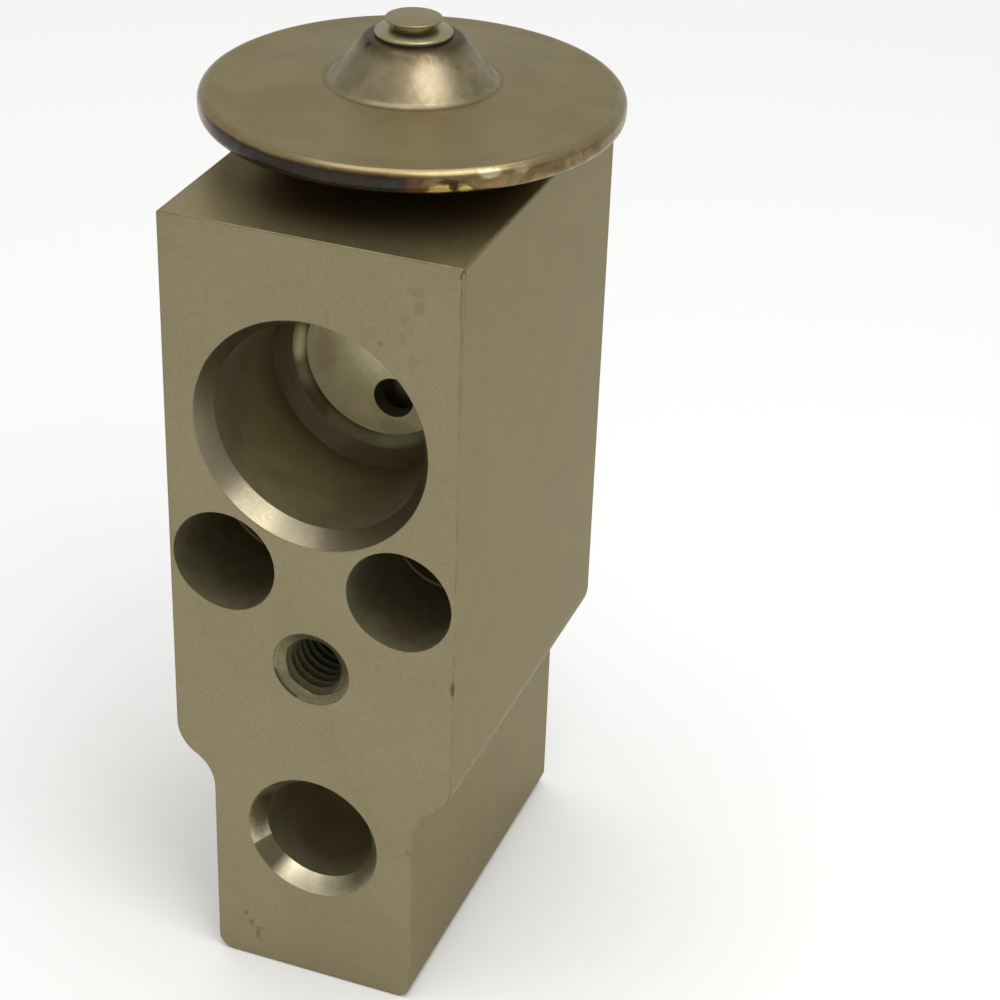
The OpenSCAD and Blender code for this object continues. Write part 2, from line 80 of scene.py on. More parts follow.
class Way(Enum):
    """The direction in which a hole goes into the block, as the matrix that turns +Z to it."""

    BACKWARD = Matrix(((1, 0, 0, 0), (0, 0, 1, 0), (0, -1, 0, 0), (0, 0, 0, 1)))
    FORWARD = Matrix(((1, 0, 0, 0), (0, 0, -1, 0), (0, 1, 0, 0), (0, 0, 0, 1)))
    UPWARD = Matrix.Identity(4)

    @property
    def axis(self) -> Vector:
        """The unit vector of the direction."""
        return self.value @ Vector((0, 0, 1))


class Grain(Enum):
    """How the marks of making lie on a surface, as the stretch of the noise along X, Y and Z."""

    EVEN = (1.0, 1.0, 1.0)
    ALONG_Y = (1.0, 0.03, 1.0)


@dataclass(frozen=True)
class Corner:
    """A corner of a section that is turned round an axis.

    Attributes:
        r: Distance from the axis.
        h: Height along the axis.
        bend: Radius that rounds the corner, 0 for a sharp one.
        finish: Number of the finish on the face that starts here.
    """

    r: float
    h: float
    bend: float = 0.0
    finish: int = 0


def rounded(corners: Sequence[Corner], steps: int = 5) -> list[Row]:
    """Rounds the corners of a closed section.

    Args:
        corners: The corners in order.
        steps: Straight pieces in each rounding.

    Returns:
        The points as radius, height and finish.
    """
    rows: list[Row] = []
    for index, corner in enumerate(corners):
        if corner.bend <= 0:
            rows.append((corner.r, corner.h, corner.finish))
            continue
        before = corners[index - 1]
        after = corners[(index + 1) % len(corners)]
        here = Vector((corner.r, corner.h))
        back = (Vector((before.r, before.h)) - here).normalized()
        ahead = (Vector((after.r, after.h)) - here).normalized()
        half = back.angle(ahead) / 2
        reach = corner.bend / math.tan(half)
        centre = here + (back + ahead).normalized() * corner.bend / math.sin(half)
        first = here + back * reach - centre
        last = here + ahead * reach - centre
        sweep = math.pi - 2 * half
        for step in range(steps + 1):
            share = step / steps
            point = centre + (first * math.sin((1 - share) * sweep)
                              + last * math.sin(share * sweep)) / math.sin(sweep)
            finish = corner.finish if step == steps else before.finish
            rows.append((point.x, point.y, finish))
    return rows


def metres(values: Sequence[float]) -> tuple[float, ...]:
    """A place or a size given in millimetres, in metres."""
    return tuple(value * MM for value in values)


def linked(name: str, data: bpy.types.ID) -> bpy.types.Object:
    """Makes an object of some data and links it to the scene."""
    made = bpy.data.objects.new(name, data)
    bpy.context.scene.collection.objects.link(made)
    return made


def new_object(name: str, vertices: Sequence[Vector], faces: Sequence[Sequence[int]],
               numbers: Sequence[int], finishes: Sequence["Finish"]) -> bpy.types.Object:
    """Makes a mesh object with outward faces.

    Args:
        name: Name of the object.
        vertices: Places in metres.
        faces: Vertex numbers of each face.
        numbers: The finish number of each face.
        finishes: The finishes that the numbers mean.

    Returns:
        The object, linked to the scene.
    """
    mesh = bpy.data.meshes.new(name)
    mesh.from_pydata([tuple(v) for v in vertices], [], faces)
    mesh.polygons.foreach_set("material_index", numbers)
    work = bmesh.new()
    work.from_mesh(mesh)
    bmesh.ops.recalc_face_normals(work, faces=work.faces)
    work.to_mesh(mesh)
    work.free()
    for finish in finishes:
        mesh.materials.append(finish.material())
    return linked(name, mesh)


def revolve(name: str, rows: Sequence[Row], finishes: Sequence["Finish"], segments: int = ROUND_SEGMENTS,
            place: Matrix = Matrix.Identity(4), shape: Shape | None = None) -> bpy.types.Object:
    """Turns a closed section round an axis.

    Args:
        name: Name of the object.
        rows: Points of the section as radius, height and finish, in millimetres.
        finishes: The finishes that the rows name by number.
        segments: Straight pieces round the axis.
        place: Matrix that moves the turned solid, in metres.
        shape: Gives the radius for an angle, a radius and a height, where the solid isn't quite round.

    Returns:
        The turned solid.
    """
    on_axis = 1e-6
    vertices: list[Vector] = []
    rings: list[list[int]] = []
    for r, h, _ in rows:
        turns = 1 if r < on_axis else segments
        rings.append([len(vertices) + (k if turns > 1 else 0) for k in range(segments)])
        for k in range(turns):
            angle = 2 * math.pi * k / segments
            reach = shape(angle, r, h) if shape and r >= on_axis else r
            local = Vector((reach * math.cos(angle), reach * math.sin(angle), h)) * MM
            vertices.append(place @ local)
    faces: list[list[int]] = []
    numbers: list[int] = []
    for index, ring in enumerate(rings):
        following = rings[(index + 1) % len(rings)]
        if ring[0] == ring[1] and following[0] == following[1]:
            continue
        for k in range(segments):
            m = (k + 1) % segments
            face = [ring[k], ring[m], following[m], following[k]]
            faces.append(list(dict.fromkeys(face)))
            numbers.append(rows[index][2])
    return new_object(name, vertices, faces, numbers, finishes)


def hole_place(x: float, y: float, z: float, way: Way) -> Matrix:
    """The matrix of a hole whose mouth is at x, y, z, in millimetres, and which goes in a given way."""
    return Matrix.Translation(Vector((x, y, z)) * MM) @ way.value


def applied(piece: bpy.types.Object) -> None:
    """Applies the modifiers of a piece to its mesh."""
    graph = bpy.context.evaluated_depsgraph_get()
    mesh = bpy.data.meshes.new_from_object(piece.evaluated_get(graph), depsgraph=graph)
    old = piece.data
    piece.modifiers.clear()
    piece.data = mesh
    bpy.data.meshes.remove(old)


def cut_away(piece: bpy.types.Object, cutters: Sequence[bpy.types.Object]) -> None:
    """Cuts solids out of a piece one after the other, with their finishes on the new faces.

    Args:
        piece: The piece that is cut.
        cutters: The solids that are taken away and deleted.
    """
    for cutter in cutters:
        modifier = piece.modifiers.new(cutter.name, "BOOLEAN")
        modifier.operation = "DIFFERENCE"
        modifier.solver = "MANIFOLD"
        modifier.material_mode = "TRANSFER"
        modifier.object = cutter
    applied(piece)
    for cutter in cutters:
        bpy.data.objects.remove(cutter)


def smoothed(piece: bpy.types.Object) -> None:
    """Shades a piece smooth, with flat faces left flat and corners left sharp."""
    mesh = piece.data
    mesh.polygons.foreach_set("use_smooth", [True] * len(mesh.polygons))
    mesh.set_sharp_from_angle(angle=SHARP_ANGLE)
    even = piece.modifiers.new("even", "WEIGHTED_NORMAL")
    even.keep_sharp = True
    even.mode = "FACE_AREA"
    even.weight = 90
    applied(piece)


def linear(colour: Bytes) -> tuple[float, float, float, float]:
    """A colour given as screen bytes, as the linear values that a shader takes."""
    parts = [c / 255 for c in colour]
    return (*[c / 12.92 if c <= 0.04045 else ((c + 0.055) / 1.055) ** 2.4 for c in parts], 1.0)


class Graph:
    """Adds and joins the nodes of one shader tree."""

    def __init__(self, tree: bpy.types.NodeTree) -> None:
        """Starts on a tree."""
        self.tree = tree

    def add(self, kind: str, settings: dict | None = None,
            inputs: dict | None = None) -> bpy.types.Node:
        """Adds a node.

        Args:
            kind: The node's type name, without the leading ShaderNode.
            settings: Values of its properties.
            inputs: Values or sockets for its inputs, by name or number.

        Returns:
            The new node.
        """
        node = self.tree.nodes.new("ShaderNode" + kind)
        node.location = (180 * len(self.tree.nodes), 0)
        for key, value in (settings or {}).items():
            setattr(node, key, value)
        return self.fed(node, inputs or {})

    def fed(self, node: bpy.types.Node, inputs: dict) -> bpy.types.Node:
        """Gives a node's inputs their values or links, and returns the node."""
        for key, value in inputs.items():
            if isinstance(value, bpy.types.NodeSocket):
                self.tree.links.new(value, node.inputs[key])
            else:
                node.inputs[key].default_value = value
        return node

    def math(self, operation: str, first: object, second: object = 0.0,
             clamp: bool = False) -> bpy.types.NodeSocket:
        """A Math node's result for two numbers or sockets."""
        settings = {"operation": operation, "use_clamp": clamp}
        return self.add("Math", settings, {0: first, 1: second}).outputs[0]

    def vector(self, operation: str, first: object, second: object = (0.0, 0.0, 0.0)) -> bpy.types.Node:
        """A Vector Math node for two vectors or sockets."""
        return self.add("VectorMath", {"operation": operation}, {0: first, 1: second})

    def noise(self, vector: object, scale: object, detail: float = 4.0, roughness: float = 0.55,
              distortion: float = 0.0) -> bpy.types.NodeSocket:
        """A Noise Texture's value at a place."""
        return self.add("TexNoise", {}, {"Vector": vector, "Scale": scale, "Detail": detail,
                                         "Roughness": roughness, "Distortion": distortion}).outputs["Fac"]

    def spread(self, value: object, low: object, high: object, start: object = 0.0, end: object = 1.0,
               smooth: bool = False) -> bpy.types.NodeSocket:
        """Maps a value from one range to another and clamps it there."""
        kind = "SMOOTHSTEP" if smooth else "LINEAR"
        return self.add("MapRange", {"interpolation_type": kind}, {
            "Value": value, "From Min": start, "From Max": end, "To Min": low, "To Max": high}).outputs[0]

    def mix(self, share: object, first: object, second: object, blend: str = "MIX") -> bpy.types.NodeSocket:
        """Mixes two colours by a share from 0 to 1."""
        return self.add("Mix", {"data_type": "RGBA", "blend_type": blend}, {
            0: share, 6: first, 7: second}).outputs[2]

    def ramp(self, value: object, stops: Sequence[tuple[float, Bytes]]) -> bpy.types.NodeSocket:
        """A Color Ramp's colour, with stops as place and screen bytes."""
        node = self.add("ValToRGB", {}, {0: value})
        elements = node.color_ramp.elements
        while len(elements) < len(stops):
            elements.new(1.0)
        for element, (place, colour) in zip(elements, stops):
            element.position = place
            element.color = linear(colour)
        return node.outputs[0]

    def group(self, tree: bpy.types.NodeTree, inputs: dict) -> bpy.types.Node:
        """Places a node group with its own input values."""
        node = self.tree.nodes.new("ShaderNodeGroup")
        node.node_tree = tree
        return self.fed(node, inputs)


class Effects:
    """The surface effects that several finishes share, each a node group that is built once."""

    FLOAT = "NodeSocketFloat"
    VECTOR = "NodeSocketVector"
    COLOR = "NodeSocketColor"

    def __init__(self) -> None:
        """Starts with no groups."""
        self.made: dict[str, bpy.types.NodeTree] = {}

    def _tree(self, name: str, inputs: dict[str, str], outputs: dict[str, str],
              build: Callable[[Graph, dict], dict]) -> bpy.types.NodeTree:
        """Makes a group once.

        Args:
            name: Name of the group.
            inputs: Socket types by name.
            outputs: Socket types by name.
            build: Adds the nodes, and returns the output sockets by name.

        Returns:
            The group's tree.
        """
        if name in self.made:
            return self.made[name]
        tree = bpy.data.node_groups.new(name, "ShaderNodeTree")
        for label, kind in inputs.items():
            tree.interface.new_socket(label, in_out="INPUT", socket_type=kind)
        for label, kind in outputs.items():
            tree.interface.new_socket(label, in_out="OUTPUT", socket_type=kind)
        graph = Graph(tree)
        start = tree.nodes.new("NodeGroupInput")
        end = tree.nodes.new("NodeGroupOutput")
        results = build(graph, {label: start.outputs[label] for label in inputs})
        for label, socket in results.items():
            tree.links.new(socket, end.inputs[label])
        self.made[name] = tree
        return tree

    def grain(self) -> bpy.types.NodeTree:
        """Fine marks of milling, drawing or blasting: a tone and a height."""
        def build(g: Graph, given: dict) -> dict:
            """Adds a coarse and a fine noise."""
            coarse = g.noise(given["Vector"], given["Scale"], 3.0, 0.6)
            finer = g.math("MULTIPLY", given["Scale"], 4.3)
            fine = g.noise(given["Vector"], finer, 2.0, 0.5)
            both = g.math("ADD", g.math("MULTIPLY", coarse, 0.55), g.math("MULTIPLY", fine, 0.45))
            return {"Tone": g.spread(both, 0.0, 1.0, 0.32, 0.68), "Height": both}
        return self._tree("grain", {"Vector": self.VECTOR, "Scale": self.FLOAT},
                          {"Tone": self.FLOAT, "Height": self.FLOAT}, build)

    def clouds(self) -> bpy.types.NodeTree:
        """Wide soft differences of tone, as handling and oxide leave."""
        def build(g: Graph, given: dict) -> dict:
            """Adds one distorted noise with more contrast."""
            wide = g.noise(given["Vector"], given["Scale"], 3.0, 0.5, 0.6)
            return {"Mask": g.spread(wide, 0.0, 1.0, 0.3, 0.7, True)}
        return self._tree("clouds", {"Vector": self.VECTOR, "Scale": self.FLOAT},
                          {"Mask": self.FLOAT}, build)

    def specks(self) -> bpy.types.NodeTree:
        """Small scattered spots of dirt."""
        def build(g: Graph, given: dict) -> dict:
            """Keeps only the peaks of a noise."""
            peaks = g.noise(given["Vector"], given["Scale"], 1.0, 0.4, 0.3)
            full = g.math("ADD", given["From"], 0.06)
            return {"Mask": g.spread(peaks, 0.0, 1.0, given["From"], full, True)}
        return self._tree("specks", {"Vector": self.VECTOR, "Scale": self.FLOAT, "From": self.FLOAT},
                          {"Mask": self.FLOAT}, build)

    def turning(self) -> bpy.types.NodeTree:
        """The fine rings that a tool leaves round an axis."""
        def build(g: Graph, given: dict) -> dict:
            """Adds a noise that changes only along the section of the turned surface."""
            lean = 0.7
            local = g.vector("SUBTRACT", given["Vector"], given["Centre"]).outputs[0]
            along = g.vector("DOT_PRODUCT", local, given["Axis"]).outputs[1]
            shift = g.add("VectorMath", {"operation": "SCALE"}, {0: given["Axis"], 3: along}).outputs[0]
            across = g.vector("LENGTH", g.vector("SUBTRACT", local, shift).outputs[0]).outputs[1]
            track = g.math("SUBTRACT", along, g.math("MULTIPLY", across, lean))
            steps = g.math("MULTIPLY", track, given["Scale"])
            rings = g.add("TexNoise", {"noise_dimensions": "1D"}, {
                "W": steps, "Scale": 1.0, "Detail": 2.0, "Roughness": 0.6}).outputs["Fac"]
            return {"Rings": rings}
        return self._tree("turning", {"Vector": self.VECTOR, "Centre": self.VECTOR, "Axis": self.VECTOR,
                                      "Scale": self.FLOAT},
                          {"Rings": self.FLOAT}, build)

    def heat_tint(self) -> bpy.types.NodeTree:
        """The oxide colours that welding leaves on steel, from bare steel over straw and purple to blue."""
        stops = ((0.0, (142, 130, 96)), (0.16, (142, 124, 84)), (0.32, (112, 92, 60)), (0.46, (88, 60, 44)),
                 (0.6, (54, 36, 42)), (0.74, (30, 27, 32)), (0.88, (44, 58, 58)), (1.0, (100, 96, 76)))

        def build(g: Graph, given: dict) -> dict:
            """Adds the colours along the heat."""
            return {"Color": g.ramp(given["Heat"], stops)}
        return self._tree("heat_tint", {"Heat": self.FLOAT}, {"Color": self.COLOR}, build)

    def smudge(self) -> bpy.types.NodeTree:
        """A soft spot with a ragged outline at one place of a surface."""
        def build(g: Graph, given: dict) -> dict:
            """Measures the distance from the spot's middle in widths of the spot."""
            local = g.vector("SUBTRACT", given["Vector"], given["Place"]).outputs[0]
            far = g.vector("LENGTH", g.vector("DIVIDE", local, given["Size"]).outputs[0]).outputs[1]
            ragged = g.noise(given["Vector"], 1 / (0.7 * MM), 3.0)
            far = g.math("ADD", far, g.math("MULTIPLY", g.math("SUBTRACT", ragged, 0.5), given["Ragged"]))
            return {"Mask": g.spread(far, 1.0, 0.0, g.math("SUBTRACT", 1.1, given["Soft"]), 1.1, True)}
        return self._tree("smudge", {"Vector": self.VECTOR, "Place": self.VECTOR, "Size": self.VECTOR,
                                     "Ragged": self.FLOAT, "Soft": self.FLOAT},
                          {"Mask": self.FLOAT}, build)


EFFECTS = Effects()


@dataclass(frozen=True)
class MarkOrPaintedLight:
    """A spot on a surface: a real mark such as a stain, a rubbed place or a faint knock, or a patch of
    painted light or shade.

    Attributes:
        place: Its middle.
        size: Its half widths along X, Y and Z.
        colour: Its colour, as screen bytes.
        share: How far it covers the surface's own colour.
        ragged: How uneven its outline is.
        soft: Width of its edge as a share of its half width.
    """

    place: tuple[float, float, float]
    size: tuple[float, float, float]
    colour: Bytes
    share: float
    ragged: float = 1.0
    soft: float = 0.7

    def laid(self, g: Graph, place: bpy.types.NodeSocket, colour: object) -> bpy.types.NodeSocket:
        """Adds the spot to a surface.

        Args:
            g: The material's graph.
            place: Socket with the place on the piece.
            colour: Socket of the surface's colour.

        Returns:
            Socket of the colour with the spot on it.
        """
        mask = g.group(EFFECTS.smudge(), {
            "Vector": place, "Place": metres(self.place),
            "Size": metres(self.size), "Ragged": self.ragged,
            "Soft": self.soft}).outputs["Mask"]
        return g.mix(g.math("MULTIPLY", mask, self.share), colour, linear(self.colour))


@dataclass(frozen=True)
class Finish:
    """A metal or rubber surface with its colour, gloss and the marks of its making.

    Attributes:
        name: Name of the material.
        colour: Colour as screen bytes.
        roughness: Middle of the roughness.
        metallic: 1 for bare metal, 0 for rubber.
        grain: How the fine marks lie.
        grain_mm: Size of the fine marks.
        grain_tone: How far the fine marks change the colour.
        grain_depth: Depth of the fine marks, in millimetres.
        cloud_mm: Size of the wide soft patches.
        cloud_tone: How far the patches change the colour.
        stain: Colour of the darker patches, as screen bytes.
        smudges: Spots at their own places, real marks and patches of painted light and shade.
    """

    name: str
    colour: Bytes
    roughness: float = 0.42
    metallic: float = 1.0
    grain: Grain = Grain.EVEN
    grain_mm: float = 0.35
    grain_tone: float = 0.12
    grain_depth: float = 0.004
    cloud_mm: float = 9.0
    cloud_tone: float = 0.35
    stain: Bytes = (120, 108, 82)
    smudges: tuple[MarkOrPaintedLight, ...] = ()

    def material(self) -> bpy.types.Material:
        """The Blender material, made on first use."""
        found = bpy.data.materials.get(self.name)
        if found:
            return found
        made = bpy.data.materials.new(self.name)
        made.use_nodes = True
        made.node_tree.nodes.clear()
        graph = Graph(made.node_tree)
        place = graph.add("TexCoord").outputs["Object"]
        colour, roughness, height = self.surface(graph, place)
        # Lays the spots on: real marks, and patches of painted highlight, reflection and shade.
        for smudge in self.smudges:
            colour = smudge.laid(graph, place, colour)
        bump = graph.add("Bump", {}, {"Strength": 1.0, "Distance": self.grain_depth * MM, "Height": height})
        shader = graph.add("BsdfPrincipled", {}, {
            "Base Color": colour, "Roughness": roughness, "Metallic": self.metallic,
            "Normal": bump.outputs[0]})
        graph.add("OutputMaterial", {}, {"Surface": shader.outputs[0]})
        made.diffuse_color = linear(self.colour)
        return made

    def surface(self, g: Graph, place: bpy.types.NodeSocket) -> tuple:
        """Adds the nodes of the surface.

        Args:
            g: The material's graph.
            place: Socket with the place on the piece.

        Returns:
            Sockets of the colour, the roughness and the height.
        """
        stretched = g.vector("MULTIPLY", place, self.grain.value).outputs[0]
        marks = g.group(EFFECTS.grain(), {"Vector": stretched, "Scale": 1 / (self.grain_mm * MM)})
        patches = g.group(EFFECTS.clouds(), {"Vector": place, "Scale": 1 / (self.cloud_mm * MM)})
        stained = g.math("MULTIPLY", patches.outputs["Mask"], self.cloud_tone)
        colour = g.mix(stained, linear(self.colour), linear(self.stain))
        shaded = g.spread(marks.outputs["Tone"], 1 - self.grain_tone, 1.0)
        colour = g.mix(1.0, colour, shaded, "MULTIPLY")
        rough = g.spread(marks.outputs["Tone"], self.roughness + 0.05, self.roughness - 0.05)
        return colour, rough, marks.outputs["Height"]


@dataclass(frozen=True)
class SpeckledFinish(Finish):
    """A surface that also has small dark specks.

    Attributes:
        speck_mm: Spacing of the specks.
        speck_from: Level of the noise above which a speck shows.
        speck: Colour of the specks, as screen bytes.
    """

    speck_mm: float = 1.6
    speck_from: float = 0.7
    speck: Bytes = (92, 84, 62)

    def surface(self, g: Graph, place: bpy.types.NodeSocket) -> tuple:
        """Adds the specks to the plain surface; the arguments and results are the same."""
        colour, rough, height = super().surface(g, place)
        spots = g.group(EFFECTS.specks(), {"Vector": place, "Scale": 1 / (self.speck_mm * MM),
                                           "From": self.speck_from})
        share = g.math("MULTIPLY", spots.outputs["Mask"], 0.55)
        return g.mix(share, colour, linear(self.speck)), rough, height


@dataclass(frozen=True)
class TurnedFinish(Finish):
    """A surface that a tool has turned or bored, with fine rings round its axis.

    Attributes:
        centre: A point of the axis, in millimetres.
        way: Direction of the axis.
        ring_mm: Pitch of the rings.
        ring_depth: Depth of the rings as a share of the grain depth.
    """

    centre: tuple[float, float, float] = (0.0, 0.0, 0.0)
    way: Way = Way.UPWARD
    ring_mm: float = 0.14
    ring_depth: float = 1.0

    def surface(self, g: Graph, place: bpy.types.NodeSocket) -> tuple:
        """Adds the rings to the plain surface; the arguments and results are the same."""
        colour, rough, height = super().surface(g, place)
        rings = g.group(EFFECTS.turning(), {
            "Vector": place, "Centre": metres(self.centre), "Axis": tuple(self.way.axis),
            "Scale": 1 / (self.ring_mm * MM)})
        tone = g.spread(rings.outputs["Rings"], 1 - self.grain_tone, 1.0, 0.3, 0.7)
        colour = g.mix(1.0, colour, tone, "MULTIPLY")
        raised = g.math("MULTIPLY", rings.outputs["Rings"], self.ring_depth)
        return colour, rough, g.math("ADD", height, raised)


@dataclass(frozen=True)
class DarkSectorFinish(TurnedFinish):
    """A turned surface with one darker sector between two angles, sharp at its start and soft at its end.

    Attributes:
        sector: Angles at which the sector starts and ends, in degrees from the right.
        sector_colour: Its colour, as screen bytes.
        sector_share: How far it covers the surface's own colour.
    """

    sector: tuple[float, float] = (202.0, 232.0)
    sector_colour: Bytes = (84, 80, 58)
    sector_share: float = 0.85

    def surface(self, g: Graph, place: bpy.types.NodeSocket) -> tuple:
        """Adds the sector to the turned surface; the arguments and results are the same."""
        colour, rough, height = super().surface(g, place)
        start, end = (math.radians(angle) for angle in self.sector)
        hard, soft = 0.08 * MM, 0.5 * MM
        local = g.vector("SUBTRACT", place, metres(self.centre)).outputs[0]
        after = g.vector("DOT_PRODUCT", local, (-math.sin(start), 0.0, math.cos(start))).outputs[1]
        before = g.vector("DOT_PRODUCT", local, (math.sin(end), 0.0, -math.cos(end))).outputs[1]
        mask = g.math("MULTIPLY", g.spread(after, 0.0, 1.0, -hard, hard),
                      g.spread(before, 0.0, 1.0, -soft, soft))
        share = g.math("MULTIPLY", mask, self.sector_share)
        return g.mix(share, colour, linear(self.sector_colour)), rough, height


@dataclass(frozen=True)
class CoverFinish(Finish):
    """Pressed sheet of the head, browned by heat round the plug and greyer outside.

    Attributes:
        ring_weld_r: Outer radius of the ring weld round the plug.
        browned_r: Radius at which the brown zone ends.
        brown: Colour of that zone, as screen bytes.
        dome_r: Radius of the foot of the dome.
        outer: Colour of the sheet outside the dome, as screen bytes.
        outer_roughness: Middle of the roughness there.
        mottle: Colour of the rubbed patches on the dome, as screen bytes.
        painted_crease_shade: Colour of the dark line round the foot, painted shade in the crease, as screen
            bytes.
    """

    ring_weld_r: float = 3.45
    browned_r: float = 5.3
    brown: Bytes = (68, 54, 34)
    dome_r: float = 7.4
    outer: Bytes = (140, 127, 89)
    outer_roughness: float = 0.46
    mottle: Bytes = (172, 156, 130)
    painted_crease_shade: Bytes = (112, 99, 68)

    def surface(self, g: Graph, place: bpy.types.NodeSocket) -> tuple:
        """Adds the zones of the sheet to the plain surface; the arguments and results are the same."""
        colour, rough, height = super().surface(g, place)
        flat = g.vector("MULTIPLY", place, (1.0, 1.0, 0.0)).outputs[0]
        true_radius = g.vector("LENGTH", flat).outputs[1]
        uneven = g.noise(place, 1 / (2.4 * MM), 3.0)
        radius = g.math("ADD", true_radius, g.math("MULTIPLY", g.math("SUBTRACT", uneven, 0.5), 0.9 * MM))
        rubbed = g.spread(g.noise(place, 1 / (1.3 * MM), 3.0, 0.5), 0.0, 0.35, 0.4, 0.72, True)
        colour = g.mix(rubbed, colour, linear(self.mottle))
        beyond = g.spread(radius, 0.0, 1.0, (self.dome_r - 0.3) * MM, (self.dome_r + 0.5) * MM, True)
        colour = g.mix(beyond, colour, linear(self.outer))
        near = g.spread(radius, 1.0, 0.0, (self.ring_weld_r + 0.5) * MM, self.browned_r * MM, True)
        colour = g.mix(g.math("MULTIPLY", near, 0.92), colour, linear(self.brown))
        # Painted shade: a dark line in the crease round the dome's foot.
        off = g.math("ABSOLUTE", g.math("SUBTRACT", true_radius, (self.dome_r + 0.2) * MM))
        line = g.spread(off, 0.55, 0.0, 0.04 * MM, 0.3 * MM, True)
        colour = g.mix(line, colour, linear(self.painted_crease_shade))
        scuffed = g.group(EFFECTS.clouds(), {"Vector": place, "Scale": 1 / (5.5 * MM)}).outputs["Mask"]
        colour = g.mix(1.0, colour, g.spread(scuffed, 0.9, 1.03), "MULTIPLY")
        rougher = g.math("MULTIPLY", beyond, self.outer_roughness - self.roughness)
        return colour, g.math("ADD", rough, rougher), height


@dataclass(frozen=True)
class WeldFinish(Finish):
    """A weld bead with the oxide colours of its heat; on the rim its darker lower part and front are also
    painted reflection of the shaded block top.

    Attributes:
        low: Height of the bottom of the bead.
        high: Height of the top of the bead.
        heat_low: Heat at the bottom, from 0 for bare steel to 1 for grey oxide; on the rim it also paints the
            dark reflection low on the bead.
        heat_high: Heat at the top.
        unrest: How far the heat changes from place to place.
        drift_mm: Size of those changes.
        tail: Direction in plan in which the bead is darkest below the border, a painted reflection.
        dark_front_heat: How much darker it gets there, below the border.
        flank: Direction in plan in which the whole height of the bead is browned.
        flank_heat: Heat there.
        border: Height of the border between the darker and the barer part, from 0 to 1.
        tint_share: How far the oxide covers the steel's own colour.
    """

    low: float = 0.0
    high: float = 1.0
    heat_low: float = 0.7
    heat_high: float = 0.1
    unrest: float = 0.6
    drift_mm: float = 3.0
    tail: tuple[float, float] = (-0.21, -0.978)
    dark_front_heat: float = 0.0
    flank: tuple[float, float] = (-0.72, -0.69)
    flank_heat: float = 0.0
    border: float = 0.55
    tint_share: float = 0.9

    def surface(self, g: Graph, place: bpy.types.NodeSocket) -> tuple:
        """Adds the oxide colours to the plain surface; the arguments and results are the same."""
        colour, rough, height = super().surface(g, place)
        level = g.add("SeparateXYZ", {}, {0: place}).outputs[2]
        rise = g.spread(level, 0.0, 1.0, self.low * MM, self.high * MM)
        drift = g.noise(place, 1 / (self.drift_mm * MM), 4.0, 0.65, 0.9)
        moved = g.math("SUBTRACT", drift, 0.5)
        wavy = g.math("ADD", rise, g.math("MULTIPLY", moved, 0.3))
        lower = g.spread(wavy, 1.0, 0.0, self.border - 0.12, self.border + 0.12, True)
        outward = g.vector("NORMALIZE", g.vector("MULTIPLY", place, (1.0, 1.0, 0.0)).outputs[0]).outputs[0]
        tail = g.spread(g.vector("DOT_PRODUCT", outward, (*self.tail, 0.0)).outputs[1],
                        0.0, self.dark_front_heat, 0.76, 0.9, True)
        flank = g.spread(g.vector("DOT_PRODUCT", outward, (*self.flank, 0.0)).outputs[1],
                         0.0, self.flank_heat, 0.84, 0.99, True)
        # The darker lower part and front are heat tint, and on the rim also painted reflection.
        heat = g.spread(lower, self.heat_high, self.heat_low)
        heat = g.math("ADD", heat, g.math("MULTIPLY", tail, lower))
        heat = g.math("MAXIMUM", heat, flank)
        wander = g.math("MULTIPLY", moved, g.spread(lower, self.unrest, self.unrest * 2))
        heat = g.math("ADD", heat, wander, clamp=True)
        tint = g.group(EFFECTS.heat_tint(), {"Heat": heat}).outputs["Color"]
        share = g.math("MULTIPLY", g.spread(heat, 0.35, 1.0, 0.0, 0.3), self.tint_share)
        return g.mix(share, colour, tint), rough, height


@dataclass(frozen=True)
class Mount:
    """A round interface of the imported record: where it is and how wide.

    Attributes:
        x: Place of its middle to the right.
        z: Height of its middle.
        radius: Radius of its wall.
    """

    x: float
    z: float
    radius: float

    @classmethod
    def read(cls, name: str) -> "Mount":
        """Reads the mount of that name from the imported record."""
        for mount in frame["record"]["mounts"]:
            if mount["name"] == name:
                x, _, z = (value / MM for value in mount["pos_m"])
                dims = mount["dims"]
                return cls(x, z, dims.get("r_mm", dims.get("hole_r_mm", 0.0)))
        raise KeyError(name)


@dataclass(frozen=True)
class Thread:
    """A metric thread, cut by a trapezoid profile.

    Attributes:
        major: Major radius.
        pitch: Pitch.
        rows_per_turn: Rows of the mesh along one pitch.
    """

    major: float
    pitch: float = 1.0
    rows_per_turn: int = 12

    @property
    def minor(self) -> float:
        """Minor radius of the nut thread."""
        return self.major - NUT_THREAD_DEPTH * self.pitch

    def radius(self, angle: float, height: float) -> float:
        """The radius of the helical surface, which is deepest where the tooth of the screw lies."""
        phase = (height / self.pitch - angle / (2 * math.pi)) % 1.0
        distance = abs(phase - 0.5)
        half_root, flank = 3 / 8, 5 / 16
        share = min(max((half_root - distance) / flank, 0.0), 1.0)
        return self.minor + (self.major - self.minor) * share

    def levels(self, start: float, end: float) -> list[float]:
        """Heights of the rows of the mesh between two heights."""
        count = max(2, round((end - start) / self.pitch * self.rows_per_turn))
        return [start + (end - start) * i / count for i in range(count + 1)]


